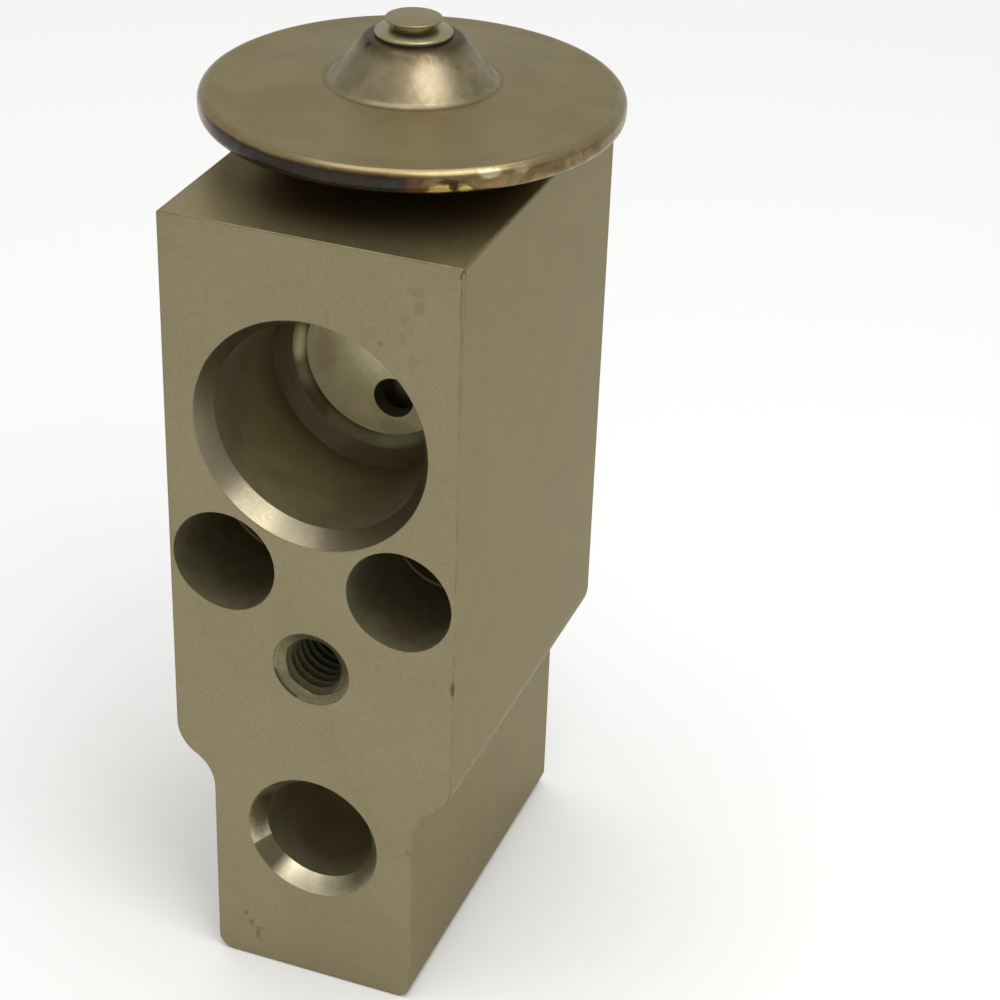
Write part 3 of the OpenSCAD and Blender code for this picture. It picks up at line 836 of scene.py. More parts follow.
@dataclass(frozen=True)
class Dent:
    """A small knock or scratch, cut as an ellipsoid.

    Attributes:
        place: Its middle.
        size: Its half widths along X, Y and Z.
    """

    place: tuple[float, float, float]
    size: tuple[float, float, float]

    def cutter(self, finish: Finish) -> bpy.types.Object:
        """The solid that cuts the dent."""
        work = bmesh.new()
        scale = Matrix.Diagonal((*[s * MM for s in self.size], 1.0))
        place = Matrix.Translation(Vector(self.place) * MM)
        bmesh.ops.create_icosphere(work, subdivisions=2, radius=1.0, matrix=place @ scale)
        vertices = [v.co.copy() for v in work.verts]
        faces = [[v.index for v in f.verts] for f in work.faces]
        work.free()
        return new_object("dent", vertices, faces, [0] * len(faces), [finish])


class Face(IntEnum):
    """The faces of a port, as the numbers of their finishes."""

    LEAD_IN = 0
    BORE = 1
    FLOOR = 2
    EDGE = 3
    STEP = 4
    CORNER = 5


@dataclass(frozen=True)
class Port:
    """A port of the block, and the drilled hole that goes on from its end.

    Attributes:
        name: The record's mount of its bore.
        way: Direction into the block.
        mouth_r: Radius at the face.
        lead: Depth of the conical lead-in.
        depth: Depth of the bore.
        hole_r: Radius of the hole.
        hole_span: Depths at which the hole starts and ends.
        hole_shift: How far the hole lies to the right of the port's axis and above it.
        hole_finishes: Finishes of the hole's wall and end, where they aren't those of the passages.
        steps: Radius, depth and face of the corners between the bore's end and the floor's middle.
        lead_colour: Colour of the lead-in, as screen bytes.
        darkening: How far the darker sector covers the lead-in's own colour.
        lead_painted_shade: Spots on the lead-in, painted shade.
        step_painted_light: Spots on the step before the floor, painted light and shade.
        floor_painted_light: Spots on the floor, painted light and shade.
    """

    name: str
    way: Way
    mouth_r: float
    lead: float
    depth: float
    hole_r: float
    hole_span: tuple[float, float]
    hole_shift: tuple[float, float] = (0.0, 0.0)
    hole_finishes: tuple[Finish, ...] = ()
    steps: tuple[Row, ...] = ()
    lead_colour: Bytes = (156, 147, 124)
    darkening: float = 0.0
    lead_painted_shade: tuple[MarkOrPaintedLight, ...] = ()
    step_painted_light: tuple[MarkOrPaintedLight, ...] = ()
    floor_painted_light: tuple[MarkOrPaintedLight, ...] = ()


@dataclass
class ValveBlock:
    """The drilled block, cut from a profiled bar.

    Its box and the ports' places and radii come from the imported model; the rest are its own sizes.
    """

    half_foot: float = 9.85
    shoulder_z: float = 22.2
    shoulder_r: float = 3.7
    foot_corner_r: float = 1.5
    top_corner_r: float = 0.3
    edge_r: float = 0.14
    lip_r: float = 0.08
    lip_bend_share: float = 1.2
    lead_bend: float = 0.1
    beyond: float = 1.0
    axis_bore: tuple[tuple[float, float], ...] = (
        (10.43, 74.7), (9.03, 74.7), (9.03, 69.2), (4.8, 68.35), (4.8, 46.5), (3.05, 46.5), (3.05, 42.0),
        (1.25, 42.0), (1.25, 28.68), (2.0, 28.68), (2.0, 20.0), (5.4, 18.3))
    adjuster_thread: Thread = Thread(6.05)
    adjuster_thread_top: float = 7.5
    adjuster_thread_overlap: float = 0.5
    adjuster_mouth_wider: float = 0.25
    adjuster_lead: float = 0.6
    clamp_thread_depth: float = 12.5
    clamp_mouth_r: float = 3.7
    clamp_mouth_depth: float = 0.55
    clamp_drill_depth: float = 13.5
    clamp_tip_depth: float = 15.0
    clamp_scrape_r: float = 3.66
    clamp_scrape_angles: tuple[float, ...] = (3.42, 3.54, 3.66, 3.78, 3.9, 4.02, 4.14, 4.26)
    recess_depth: float = 11.0
    recess_corner: float = 0.18
    dents: tuple[Dent, ...] = (
        Dent((13.5, -21.7, 36.3), (0.2, 0.24, 0.85)),
        Dent((13.5, -21.7, 75.95), (0.2, 0.2, 0.2)),
        Dent((13.5, -12.0, 76.2), (0.22, 0.5, 0.18)))
    smudges: tuple[MarkOrPaintedLight, ...] = (
        MarkOrPaintedLight((13.5, -21.7, 75.6), (0.45, 0.6, 0.55), (92, 74, 44), 0.75),
        MarkOrPaintedLight((13.45, -21.7, 73.2), (0.3, 0.6, 3.0), (112, 98, 66), 0.7, 0.5),
        MarkOrPaintedLight((13.45, -21.7, 66.0), (0.26, 0.6, 7.0), (124, 112, 78), 0.6, 0.5),
        MarkOrPaintedLight((13.4, -21.7, 36.3), (0.26, 0.4, 0.95), (88, 76, 50), 0.7, 0.4),
        MarkOrPaintedLight((9.5, -21.7, 73.4), (1.0, 0.5, 0.6), (128, 120, 84), 0.4),
        MarkOrPaintedLight((9.8, -21.7, 72.1), (0.6, 0.5, 0.8), (124, 118, 82), 0.45),
        MarkOrPaintedLight((8.5, -21.7, 70.9), (0.7, 0.5, 0.7), (132, 122, 88), 0.35),
        MarkOrPaintedLight((8.3, -21.7, 69.1), (0.5, 0.5, 0.9), (130, 120, 86), 0.35),
        MarkOrPaintedLight((9.2, -21.7, 67.0), (0.4, 0.5, 1.8), (130, 120, 86), 0.3),
        MarkOrPaintedLight((6.4, -21.7, 68.25), (0.3, 0.5, 0.3), (112, 102, 72), 0.45, 0.5),
        MarkOrPaintedLight((-6.97, -21.7, 4.95), (0.26, 0.5, 0.4), (104, 90, 56), 0.5, 0.6),
        MarkOrPaintedLight((-6.4, -21.7, 3.95), (0.3, 0.5, 0.45), (98, 82, 50), 0.5, 0.6),
        MarkOrPaintedLight((-5.5, -21.7, 3.5), (0.5, 0.5, 0.26), (104, 88, 56), 0.4, 0.6),
        MarkOrPaintedLight((-5.75, -21.7, 2.75), (0.34, 0.5, 0.7), (104, 82, 52), 0.5, 0.6),
        MarkOrPaintedLight((12.3, -21.7, 22.9), (0.4, 0.5, 0.3), (110, 98, 66), 0.4, 0.5),
        MarkOrPaintedLight((10.36, -21.7, 19.9), (0.35, 0.5, 0.35), (110, 98, 66), 0.4, 0.5),
        MarkOrPaintedLight((9.5, -21.7, 17.2), (0.3, 0.5, 0.4), (110, 98, 66), 0.4, 0.5))
    face: Finish = field(init=False)
    side: Finish = field(init=False)
    top: Finish = Finish("milled_top", (157, 144, 105), 0.42, grain=Grain.ALONG_Y, grain_mm=0.2,
                         grain_tone=0.1, cloud_mm=14.0, cloud_tone=0.3, stain=(145, 132, 94))
    edge: Finish = Finish("eased_edge", (150, 140, 108), 0.55, grain_mm=0.5, grain_tone=0.15, cloud_mm=2.5,
                          cloud_tone=0.6, stain=(126, 115, 84))
    bruise: Finish = Finish("knocked_metal", (112, 100, 70), 0.55, grain_mm=0.3, grain_tone=0.2)
    recess: Finish = Finish("counterbore", (150, 143, 112), 0.46, 0.7, grain_mm=0.25, grain_tone=0.12,
                            cloud_mm=2.2, cloud_tone=0.5, stain=(118, 108, 78))
    # The floor's dark colour is painted shade at the bottom of the counterbore.
    recess_floor: Finish = Finish("counterbore_floor", (74, 66, 46), 0.4, 0.8, grain_mm=0.25)
    glint: Finish = Finish("tool_corner", (126, 116, 88), 0.4, 0.7, grain_mm=0.25)
    # The hole wall's dark colour is painted shade inside the narrow hole.
    hole_wall: Finish = Finish("floor_hole_wall", (76, 72, 56), 0.6, 0.0, grain_mm=0.25)
    hole_end: Finish = Finish("floor_hole_end", (200, 194, 160), 0.6, 0.0, grain_mm=0.25)
    passage: Finish = Finish("drilled_passage", (204, 194, 156), 0.5, 0.2, grain_mm=0.25, grain_tone=0.15,
                             stain=(176, 166, 126))
    ports: tuple[Port, ...] = (
        Port("suction_outlet", Way.BACKWARD, 10.75, 1.95, 13.4, 1.9, (15.0, 18.7), (1.2, -3.4),
             (hole_wall, hole_end), ((8.35, 14.7, Face.STEP), (7.2, 15.3, Face.FLOOR)),
             # Painted light and shade on the step: pale at the left, dark at the lower left, greenish at the
             # lower right.
             step_painted_light=(
                 MarkOrPaintedLight((-6.4, -6.7, 52.6), (2.6, 1.4, 2.6), (58, 46, 30), 0.8, 0.3),
                 MarkOrPaintedLight((-7.9, -6.7, 58.6), (1.0, 1.4, 2.3), (140, 128, 98), 1.0, 0.2),
                 MarkOrPaintedLight((2.6, -6.7, 50.4), (3.6, 1.4, 1.4), (96, 98, 72), 0.8, 0.3)),
             # Painted light on the floor: near white over its upper part, duller at the left and at the
             # bottom.
             floor_painted_light=(
                 MarkOrPaintedLight((1.2, -6.4, 60.0), (5.6, 2.0, 5.4), (244, 234, 194), 0.95, 0.4, 0.8),
                 MarkOrPaintedLight((-5.4, -6.4, 57.8), (1.3, 2.0, 3.2), (156, 140, 104), 0.6, 0.8),
                 MarkOrPaintedLight((-3.4, -6.4, 60.4), (1.2, 2.0, 1.2), (214, 190, 156), 0.5, 1.2),
                 MarkOrPaintedLight((-2.2, -6.4, 52.9), (1.6, 2.0, 0.9), (206, 178, 144), 0.4, 1.2),
                 MarkOrPaintedLight((1.6, -6.4, 51.5), (3.0, 2.0, 1.1), (160, 142, 104), 0.7, 0.8))),
        Port("liquid_inlet", Way.BACKWARD, 6.45, 1.6, 13.6, 3.0, (12.0, 21.7),
             # The paler lead-in colour here is a painted highlight, left bright at the bottom, and the spots
             # paint shade at the upper left and the lower right.
             lead_colour=(206, 195, 166), darkening=0.9,
             lead_painted_shade=(
                 MarkOrPaintedLight((-5.8, -20.7, 17.4), (1.9, 1.8, 4.6), (86, 77, 56), 0.95, 0.3, 0.7),
                 MarkOrPaintedLight((3.9, -21.1, 11.6), (4.4, 1.6, 3.6), (112, 106, 80), 0.8, 0.3, 1.0))),
        Port("suction_inlet", Way.FORWARD, 10.75, 1.95, 10.0, 6.2, (8.0, 15.1)),
        Port("liquid_outlet", Way.FORWARD, 6.45, 1.6, 11.0, 2.4, (9.0, 15.1)))
    piece: bpy.types.Object = field(init=False)

    def __post_init__(self) -> None:
        """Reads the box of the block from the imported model."""
        low, high = (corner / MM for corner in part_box("valve_block"))
        self.half_w = high.x
        self.front_y = low.y
        self.rear_y = high.y
        self.height = high.z
        self.face = SpeckledFinish("milled_face", (151, 140, 111), 0.5, grain_mm=0.28, grain_tone=0.14,
                                   cloud_mm=9.0, cloud_tone=0.45, stain=(141, 132, 99), speck_mm=1.1,
                                   speck_from=0.8, speck=(124, 114, 84), smudges=self.smudges)
        # The side's colour is partly the extruded finish and partly painted shade: darker and warmer than the
        # face to offset the key light on the side.
        self.side = SpeckledFinish("extruded_side", (135, 123, 83), 0.5, grain_mm=0.3, grain_tone=0.12,
                                   cloud_mm=5.0, cloud_tone=0.4, stain=(126, 114, 76), speck_mm=1.3,
                                   speck_from=0.78, speck=(104, 94, 64), smudges=self.smudges[:4])

    @staticmethod
    def arc(x: float, z: float, radius: float, start: float, end: float,
            hollow: bool = False, steps: int = 14) -> list[tuple[float, float, float, float]]:
        """An arc of the outline.

        Args:
            x: Centre to the right.
            z: Height of the centre.
            radius: Radius.
            start: Angle of its first point, in degrees.
            end: Angle of its last point.
            hollow: True where the bar lies outside the arc.
            steps: Straight pieces in it.

        Returns:
            Points as x, z and the outward direction's x and z.
        """
        points = []
        for step in range(steps + 1):
            angle = math.radians(start + (end - start) * step / steps)
            out = -1 if hollow else 1
            points.append((x + radius * math.cos(angle), z + radius * math.sin(angle),
                           out * math.cos(angle), out * math.sin(angle)))
        return points

    def outline(self) -> list[tuple[float, float, float, float]]:
        """The bar's outline as x, z and outward direction, from the top right corner round."""
        lean = math.degrees(math.acos(1 - (self.half_w - self.half_foot) / (2 * self.shoulder_r)))
        rise = self.shoulder_r * math.sin(math.radians(lean))
        right = self.arc(self.half_w - self.top_corner_r, self.height - self.top_corner_r,
                         self.top_corner_r, 90, 0, steps=5)
        right += self.arc(self.half_w - self.shoulder_r, self.shoulder_z + rise, self.shoulder_r, 0, -lean)
        right += self.arc(self.half_foot + self.shoulder_r, self.shoulder_z - rise, self.shoulder_r,
                          180 - lean, 180, hollow=True)[1:]
        right += self.arc(self.half_foot - self.foot_corner_r, self.foot_corner_r, self.foot_corner_r,
                          0, -90, steps=10)
        left = [(-x, z, -nx, nz) for x, z, nx, nz in reversed(right)]
        return right + left

    def blank(self) -> bpy.types.Object:
        """The bar before drilling, with its front and rear edges slightly rounded."""
        steps = 4
        outline = self.outline()
        turns = [math.pi / 2 * i / steps for i in range(steps + 1)]
        front = [(self.front_y + self.edge_r * (1 - math.sin(t)), self.edge_r * (1 - math.cos(t)))
                 for t in reversed(turns)]
        rear = [(self.rear_y - self.edge_r * (1 - math.sin(t)), self.edge_r * (1 - math.cos(t)))
                for t in turns]
        rings = front + rear
        vertices = [Vector((x - nx * inset, y, z - nz * inset)) * MM
                    for y, inset in rings for x, z, nx, nz in outline]
        count = len(outline)
        faces = [list(range(count)), list(range((len(rings) - 1) * count, len(rings) * count))]
        numbers = [0, 0]
        for ring in range(len(rings) - 1):
            for k in range(count):
                m = (k + 1) % count
                faces.append([ring * count + k, ring * count + m,
                              (ring + 1) * count + m, (ring + 1) * count + k])
                flank = 3 if m == 0 else 1
                numbers.append(flank if ring == steps else 2)
        return new_object("valve_block_body", vertices, faces, numbers,
                          [self.face, self.side, self.edge, self.top])

    def face_y(self, way: Way) -> float:
        """Place of the face through which a hole goes in."""
        return self.front_y if way is Way.BACKWARD else self.rear_y

    def port(self, port: Port, mount: Mount) -> bpy.types.Object:
        """The cutter of a port: rounded lip, conical lead-in, bore and what lies at its end.

        Args:
            port: The port.
            mount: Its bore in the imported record.

        Returns:
            The cutter.
        """
        name = port.name
        y = self.face_y(port.way)
        where = {"centre": (mount.x, y, mount.z), "way": port.way}
        finishes = [
            # The lead-in's spots, where a port gives any, are painted shade.
            DarkSectorFinish(name + "_lead_in", port.lead_colour, 0.3, grain_tone=0.08, cloud_tone=0.3,
                          cloud_mm=3.0, stain=(148, 138, 106), ring_mm=0.12, grain_depth=0.0,
                          smudges=port.lead_painted_shade, sector_share=port.darkening, **where),
            TurnedFinish(name + "_bore", (170, 163, 131), 0.4, 0.78, grain_tone=0.1, cloud_mm=5.0,
                         cloud_tone=0.6, stain=(140, 132, 98), ring_mm=0.16, grain_depth=0.002, **where),
            # Its spots, where a port gives any, paint the light and shade on the floor.
            TurnedFinish(name + "_floor", (190, 180, 140), 0.5, 0.35, grain_tone=0.06, cloud_mm=2.5,
                         cloud_tone=0.5, stain=(176, 160, 120), ring_mm=0.2, grain_depth=0.001,
                         smudges=port.floor_painted_light, **where),
            self.edge,
            # The step's dark colour is painted shade, and its spots paint light and shade on it.
            TurnedFinish(name + "_step", (90, 88, 64), 0.3, grain_tone=0.1, cloud_mm=3.0,
                         cloud_tone=0.5, stain=(74, 66, 46), ring_mm=0.12, grain_depth=0.0008,
                         smudges=port.step_painted_light, **where),
            # The corner cone's dark colour is painted shade at the far end of the bore.
            TurnedFinish(name + "_corner", (80, 74, 50), 0.45, 0.85, grain_tone=0.15, ring_mm=0.2, **where)]
        lip = port.mouth_r + self.lip_r
        corners = [
            Corner(0.0, -self.beyond), Corner(lip, -self.beyond, 0.0, Face.EDGE),
            Corner(lip, 0.0, 0.0, Face.EDGE),
            Corner(port.mouth_r, 0.0, self.lip_r * self.lip_bend_share, Face.LEAD_IN),
            Corner(mount.radius, port.lead, self.lead_bend, Face.BORE),
            Corner(mount.radius, port.depth, 0.0, Face.CORNER if port.steps else Face.FLOOR)]
        corners += [Corner(r, depth, 0.0, face) for r, depth, face in port.steps]
        corners.append(Corner(0.0, corners[-1].h, 0.0, Face.FLOOR))
        return revolve(name, rounded(corners), finishes, place=hole_place(mount.x, y, mount.z, port.way))

    def drill(self, hole: Mount, way: Way, start: float, end: float,
              finishes: Sequence[Finish] = ()) -> bpy.types.Object:
        """The cutter of a plain drilled hole.

        Args:
            hole: Its axis and radius.
            way: Direction into the block.
            start: Depth at which it starts.
            end: Depth at which it ends.
            finishes: Finishes of its wall and its end, where they aren't that of the passages.

        Returns:
            The cutter.
        """
        rows = [(0.0, start, 0), (hole.radius, start, 0), (hole.radius, end, 1), (0.0, end, 1)]
        place = hole_place(hole.x, self.face_y(way), hole.z, way)
        return revolve("drill", rows, finishes or (self.passage, self.passage), SMALL_SEGMENTS, place)

    def port_cutters(self) -> list[bpy.types.Object]:
        """The cutters of the ports in both faces, each with the hole that goes on from it."""
        cutters = []
        for port in self.ports:
            mount = Mount.read(port.name)
            right, up = port.hole_shift
            hole = Mount(mount.x + right, mount.z + up, port.hole_r)
            cutters.append(self.port(port, mount))
            cutters.append(self.drill(hole, port.way, *port.hole_span, port.hole_finishes))
        return cutters

    def screw_holes(self) -> list[bpy.types.Object]:
        """The cutters of the two mounting holes and their recesses."""
        cutters = []
        through = Mount.read("mounting_screws").radius
        inset = self.recess_corner
        depth = self.recess_depth
        length = self.rear_y - self.front_y + self.beyond
        for name in ("screw_recess_left", "screw_recess_right"):
            recess = Mount.read(name)
            r = recess.radius
            corners = [
                Corner(0.0, -self.beyond), Corner(r + self.lip_r, -self.beyond, 0.0, 1),
                Corner(r + self.lip_r, 0.0, 0.0, 1), Corner(r, 0.0, self.lip_r, 0),
                Corner(r, depth - inset, 0.0, 2), Corner(r - inset, depth, 0.0, 3),
                Corner(0.0, depth, 0.0, 3)]
            finishes = [self.recess, self.edge, self.glint, self.recess_floor]
            cutters.append(revolve(name, rounded(corners), finishes, ROUND_SEGMENTS // 2,
                                   hole_place(recess.x, self.front_y, recess.z, Way.BACKWARD)))
            hole = Mount(recess.x, recess.z, through)
            cutters.append(self.drill(hole, Way.BACKWARD, depth - self.beyond, length))
        return cutters

    def clamp_hole(self) -> bpy.types.Object:
        """The cutter of the threaded hole for the line clamp, with its countersink."""
        mount = Mount.read("clamp_thread")
        thread = Thread(mount.radius)
        tap_r = thread.minor
        slope = (self.clamp_mouth_r - mount.radius) / self.clamp_mouth_depth
        far = self.clamp_scrape_r
        darkening = tuple(MarkOrPaintedLight((mount.x + far * math.cos(a), self.front_y, mount.z + far * math.sin(a)),
                              (0.34, 0.5, 0.34), (64, 52, 32), 0.75, 0.3)
                       for a in self.clamp_scrape_angles)
        finishes = [
            # The thread's dark colour is painted shade inside the hole.
            Finish("thread_flank", (80, 77, 52), 0.55, 0.7, grain_mm=0.2, grain_tone=0.2, cloud_mm=2.0,
                   stain=(66, 58, 38)),
            TurnedFinish("countersink", (150, 141, 109), 0.42, grain_mm=0.3, grain_tone=0.34, cloud_mm=1.5,
                         cloud_tone=0.6, stain=(130, 120, 88), smudges=darkening, ring_mm=0.24,
                         centre=(mount.x, self.front_y, mount.z), way=Way.BACKWARD)]

        def shape(angle: float, radius: float, height: float) -> float:
            """The wider of the countersink and the thread, and plain outside both."""
            if height < 0 or height > self.clamp_thread_depth:
                return radius
            cone = self.clamp_mouth_r - height * slope
            return max(cone, thread.radius(angle, height))

        mouth = self.clamp_mouth_r
        rows = [(0.0, -self.beyond, 1), (mouth, -self.beyond, 1), (mouth, -HAIR, 1)]
        first_turn = self.clamp_mouth_depth + 0.2
        rows += [(thread.major, level, 1 if level < first_turn else 0)
                 for level in thread.levels(0.0, self.clamp_thread_depth)]
        rows += [(tap_r, self.clamp_thread_depth + HAIR, 0), (tap_r, self.clamp_drill_depth, 0),
                 (0.0, self.clamp_tip_depth, 0)]
        place = hole_place(mount.x, self.front_y, mount.z, Way.BACKWARD)
        return revolve("clamp_thread", rows, finishes, SMALL_SEGMENTS, place, shape)

    def valve_axis(self) -> list[bpy.types.Object]:
        """The cutters of the bores on the valve axis: the stepped bore and the adjuster thread."""
        above = self.height + self.beyond
        under = self.adjuster_thread_top - self.adjuster_thread_overlap
        rows = [(0.0, above, 0), (self.axis_bore[0][0], above, 0)]
        rows += [(r, z, 0) for r, z in self.axis_bore]
        rows += [(self.axis_bore[-1][0], under, 0), (0.0, under, 0)]
        stepped = revolve("stepped_bore", rows, [self.passage], SMALL_SEGMENTS * 2)
        thread = self.adjuster_thread
        mouth_r = thread.major + self.adjuster_mouth_wider
        lead = self.adjuster_lead

        def shape(angle: float, radius: float, height: float) -> float:
            """The wider of the mouth's cone and the thread, and plain outside the block."""
            if height < 0:
                return radius
            return max(mouth_r - height * (mouth_r - thread.minor) / lead, thread.radius(angle, height))

        rows = [(0.0, -self.beyond, 0), (mouth_r, -self.beyond, 0), (mouth_r, -HAIR, 0)]
        rows += [(thread.major, level, 0) for level in thread.levels(0.0, self.adjuster_thread_top)]
        rows += [(0.0, self.adjuster_thread_top, 0)]
        mouth = revolve("adjuster_thread", rows, [self.recess], SMALL_SEGMENTS, shape=shape)
        return [stepped, mouth]

    def build(self) -> list[bpy.types.Object]:
        """Cuts the block and stands it in for its node."""
        self.piece = self.blank()
        cutters = self.port_cutters() + self.screw_holes() + self.valve_axis()
        cutters.append(self.clamp_hole())
        cutters += [dent.cutter(self.bruise) for dent in self.dents]
        cut_away(self.piece, cutters)
        smoothed(self.piece)
        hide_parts("valve_block")
        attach(self.piece, "valve_body")
        return [self.piece]


@dataclass
class PowerHead:
    """The welded head: two covers, the bead at the rim, and the plug in its dome.

    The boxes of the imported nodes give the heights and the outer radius. The dome's foot, the plug's
    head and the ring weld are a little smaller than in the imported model, to match the photograph.
    """

    weld_w: float = 0.9
    band_w: float = 1.6
    sheet_t: float = 0.95
    lower_t: float = 1.1
    neck_r: float = 9.0
    neck_wall: float = 2.2
    dish_floor_r: float = 10.5
    dome_foot_r: float = 7.05
    dome_top_r: float = 4.2
    dome_foot_z: float = 82.25
    dome_top_z: float = 86.12
    dome_shoulder: float = 1.1
    dome_fillet: float = 0.9
    dome_foot_inset: float = 0.4
    dome_top_inset: float = 0.6
    dome_foot_bend: float = 1.6
    dome_top_bend: float = 0.4
    band_bend: float = 2.5
    band_bend_under: float = 2.0
    neck_bevel: float = 0.4
    dish_bend: float = 0.8
    plug_stem_r: float = 1.7
    plug_head_t: float = 0.22
    plug_head_bend: float = 0.08
    plug_play: float = 0.03
    plug_tip_bend: float = 0.2
    ring_inset: float = 0.1
    ring_side: float = 0.38
    ring_flat: float = 0.34
    ring_side_bend: float = 0.16
    ring_top_bend: float = 0.2
    rim_bend_share: float = 0.9
    rim_ripple: float = 0.05
    rim_tints_and_painted_light: tuple[MarkOrPaintedLight, ...] = (
        MarkOrPaintedLight((5.5, -17.5, 80.0), (0.9, 0.6, 0.35), (50, 66, 60), 0.7, 1.4),
        # Painted reflection: pale gold patches low on the bead at the front, with a dark gap between them.
        MarkOrPaintedLight((9.0, -15.9, 79.8), (1.3, 1.0, 0.46), (196, 180, 128), 0.9, 1.8, 0.5),
        MarkOrPaintedLight((10.8, -14.8, 79.8), (0.8, 0.8, 0.42), (196, 178, 124), 0.9, 1.8, 0.5),
        MarkOrPaintedLight((10.0, -15.4, 80.1), (0.4, 0.5, 0.5), (44, 32, 26), 0.9, 1.2, 0.5),
        # Heat tint: orange-brown and purple spots.
        MarkOrPaintedLight((12.7, -13.2, 79.85), (1.2, 1.0, 0.45), (146, 106, 74), 0.65, 1.6),
        MarkOrPaintedLight((9.6, -15.4, 80.5), (1.6, 1.1, 0.28), (64, 42, 38), 0.85, 1.6),
        # Painted highlight: cream and pinkish patches high on the bead at the front right.
        MarkOrPaintedLight((12.2, -13.5, 80.9), (1.2, 1.1, 0.45), (206, 192, 158), 0.85, 1.2),
        MarkOrPaintedLight((14.3, -11.3, 80.9), (1.0, 1.0, 0.4), (180, 160, 136), 0.75, 1.3),
        MarkOrPaintedLight((15.6, -9.4, 80.5), (0.6, 0.8, 0.5), (104, 100, 78), 0.7, 1.3),
        MarkOrPaintedLight((16.8, -7.0, 80.8), (0.5, 1.0, 0.4), (112, 104, 84), 0.7, 1.3))
    ripple_waves: tuple[tuple[int, float], ...] = ((3, 0.4), (7, 2.1), (16, 4.2), (29, 1.3))
    cover: Finish = CoverFinish(
        "pressed_steel", (142, 131, 102), 0.4, grain_mm=0.4, grain_tone=0.12, cloud_mm=2.6,
        cloud_tone=0.5, stain=(122, 112, 82), smudges=(
            # Painted highlight: a pale pink spot on the dome's flank at the front right.
            MarkOrPaintedLight((3.9, -4.3, 84.2), (2.4, 2.4, 2.0), (176, 160, 136), 0.5),
            # Painted shade: the dome's left flank darker.
            MarkOrPaintedLight((-3.6, -4.6, 84.0), (2.0, 2.0, 2.0), (118, 110, 78), 0.5),
            MarkOrPaintedLight((-2.6, -3.2, 85.6), (0.5, 0.5, 0.6), (28, 24, 20), 0.9, 0.5),
            MarkOrPaintedLight((4.4, -1.8, 84.4), (0.9, 0.7, 0.7), (92, 76, 52), 0.6)))
    under: Finish = Finish("lower_cover_steel", (128, 116, 90), 0.4, grain_mm=0.4, cloud_mm=5.0,
                           stain=(96, 84, 62))
    plug: Finish = Finish("plug_head_steel", (156, 143, 108), 0.36, grain_mm=0.3, cloud_mm=2.0,
                          stain=(134, 120, 88))
    bead: Finish = WeldFinish("ring_weld", (176, 172, 132), 0.36, grain_mm=0.3, grain_tone=0.2,
                              cloud_mm=0.9, cloud_tone=0.5, stain=(140, 134, 98), heat_low=0.66,
                              heat_high=0.0, low=86.1, high=86.5, unrest=0.15, drift_mm=0.8,
                              border=0.6, tint_share=0.8)

    def __post_init__(self) -> None:
        """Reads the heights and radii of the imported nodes."""
        low, high = (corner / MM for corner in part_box("rim_weld"))
        self.rim_r = high.x
        self.rim_low = low.z
        self.rim_high = high.z
        self.weld_r = self.rim_r - self.weld_w
        self.band_r = self.weld_r - self.band_w
        low, high = (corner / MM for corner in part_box("charging_plug"))
        self.plug_r = high.x
        self.plug_low = low.z
        self.plug_high = high.z
        low, high = (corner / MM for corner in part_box("plug_weld"))
        self.ring_r = high.x - self.ring_inset
        self.ring_high = high.z
        low, high = (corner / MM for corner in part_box("lower_cover"))
        self.neck_low = low.z
        self.flange_z = self.rim_low + self.lower_t
        self.block_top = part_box("valve_block")[1].z / MM

    def upper_cover(self) -> bpy.types.Object:
        """The upper cover: flat band, shallow cone, fillet and dome."""
        t = self.sheet_t
        corners = [
            Corner(self.plug_stem_r, self.dome_top_z),
            Corner(self.dome_top_r, self.dome_top_z, self.dome_shoulder),
            Corner(self.dome_foot_r, self.dome_foot_z, self.dome_fillet),
            Corner(self.band_r, self.rim_high, self.band_bend), Corner(self.weld_r, self.rim_high),
            Corner(self.weld_r, self.rim_high - t),
            Corner(self.band_r, self.rim_high - t, self.band_bend_under),
            Corner(self.dome_foot_r - self.dome_foot_inset, self.dome_foot_z - t, self.dome_foot_bend),
            Corner(self.dome_top_r - self.dome_top_inset, self.dome_top_z - t, self.dome_top_bend),
            Corner(self.plug_stem_r, self.dome_top_z - t)]
        made = revolve("upper_cover_sheet", rounded(corners, 8), [self.cover])
        return self.place(made, "upper_cover", "head_steel")

    def lower_cover(self) -> bpy.types.Object:
        """The lower cover: dish, flat rim and threaded neck."""
        dish = self.block_top + self.lower_t
        slope = Vector((self.band_r - self.dish_floor_r, self.flange_z - dish)).normalized()
        step = self.lower_t * (1 - slope.x) / slope.y
        corners = [
            Corner(self.neck_r - self.neck_wall, self.neck_low),
            Corner(self.neck_r - self.neck_bevel, self.neck_low),
            Corner(self.neck_r, self.neck_low + self.neck_bevel), Corner(self.neck_r, self.block_top),
            Corner(self.dish_floor_r + step, self.block_top, self.dish_bend),
            Corner(self.band_r + step, self.rim_low, self.dish_bend), Corner(self.weld_r, self.rim_low),
            Corner(self.weld_r, self.flange_z), Corner(self.band_r, self.flange_z),
            Corner(self.dish_floor_r, dish), Corner(self.neck_r - self.neck_wall, dish)]
        made = revolve("lower_cover_sheet", rounded(corners), [self.under])
        return self.place(made, "lower_cover", "head_steel")

    def rim(self) -> bpy.types.Object:
        """The bead that closes the rim, with the slow ripple of a weld run."""
        bend = self.weld_w * self.rim_bend_share
        corners = [
            Corner(self.weld_r, self.rim_low), Corner(self.rim_r, self.rim_low, bend),
            Corner(self.rim_r, self.rim_high, bend), Corner(self.weld_r, self.rim_high)]
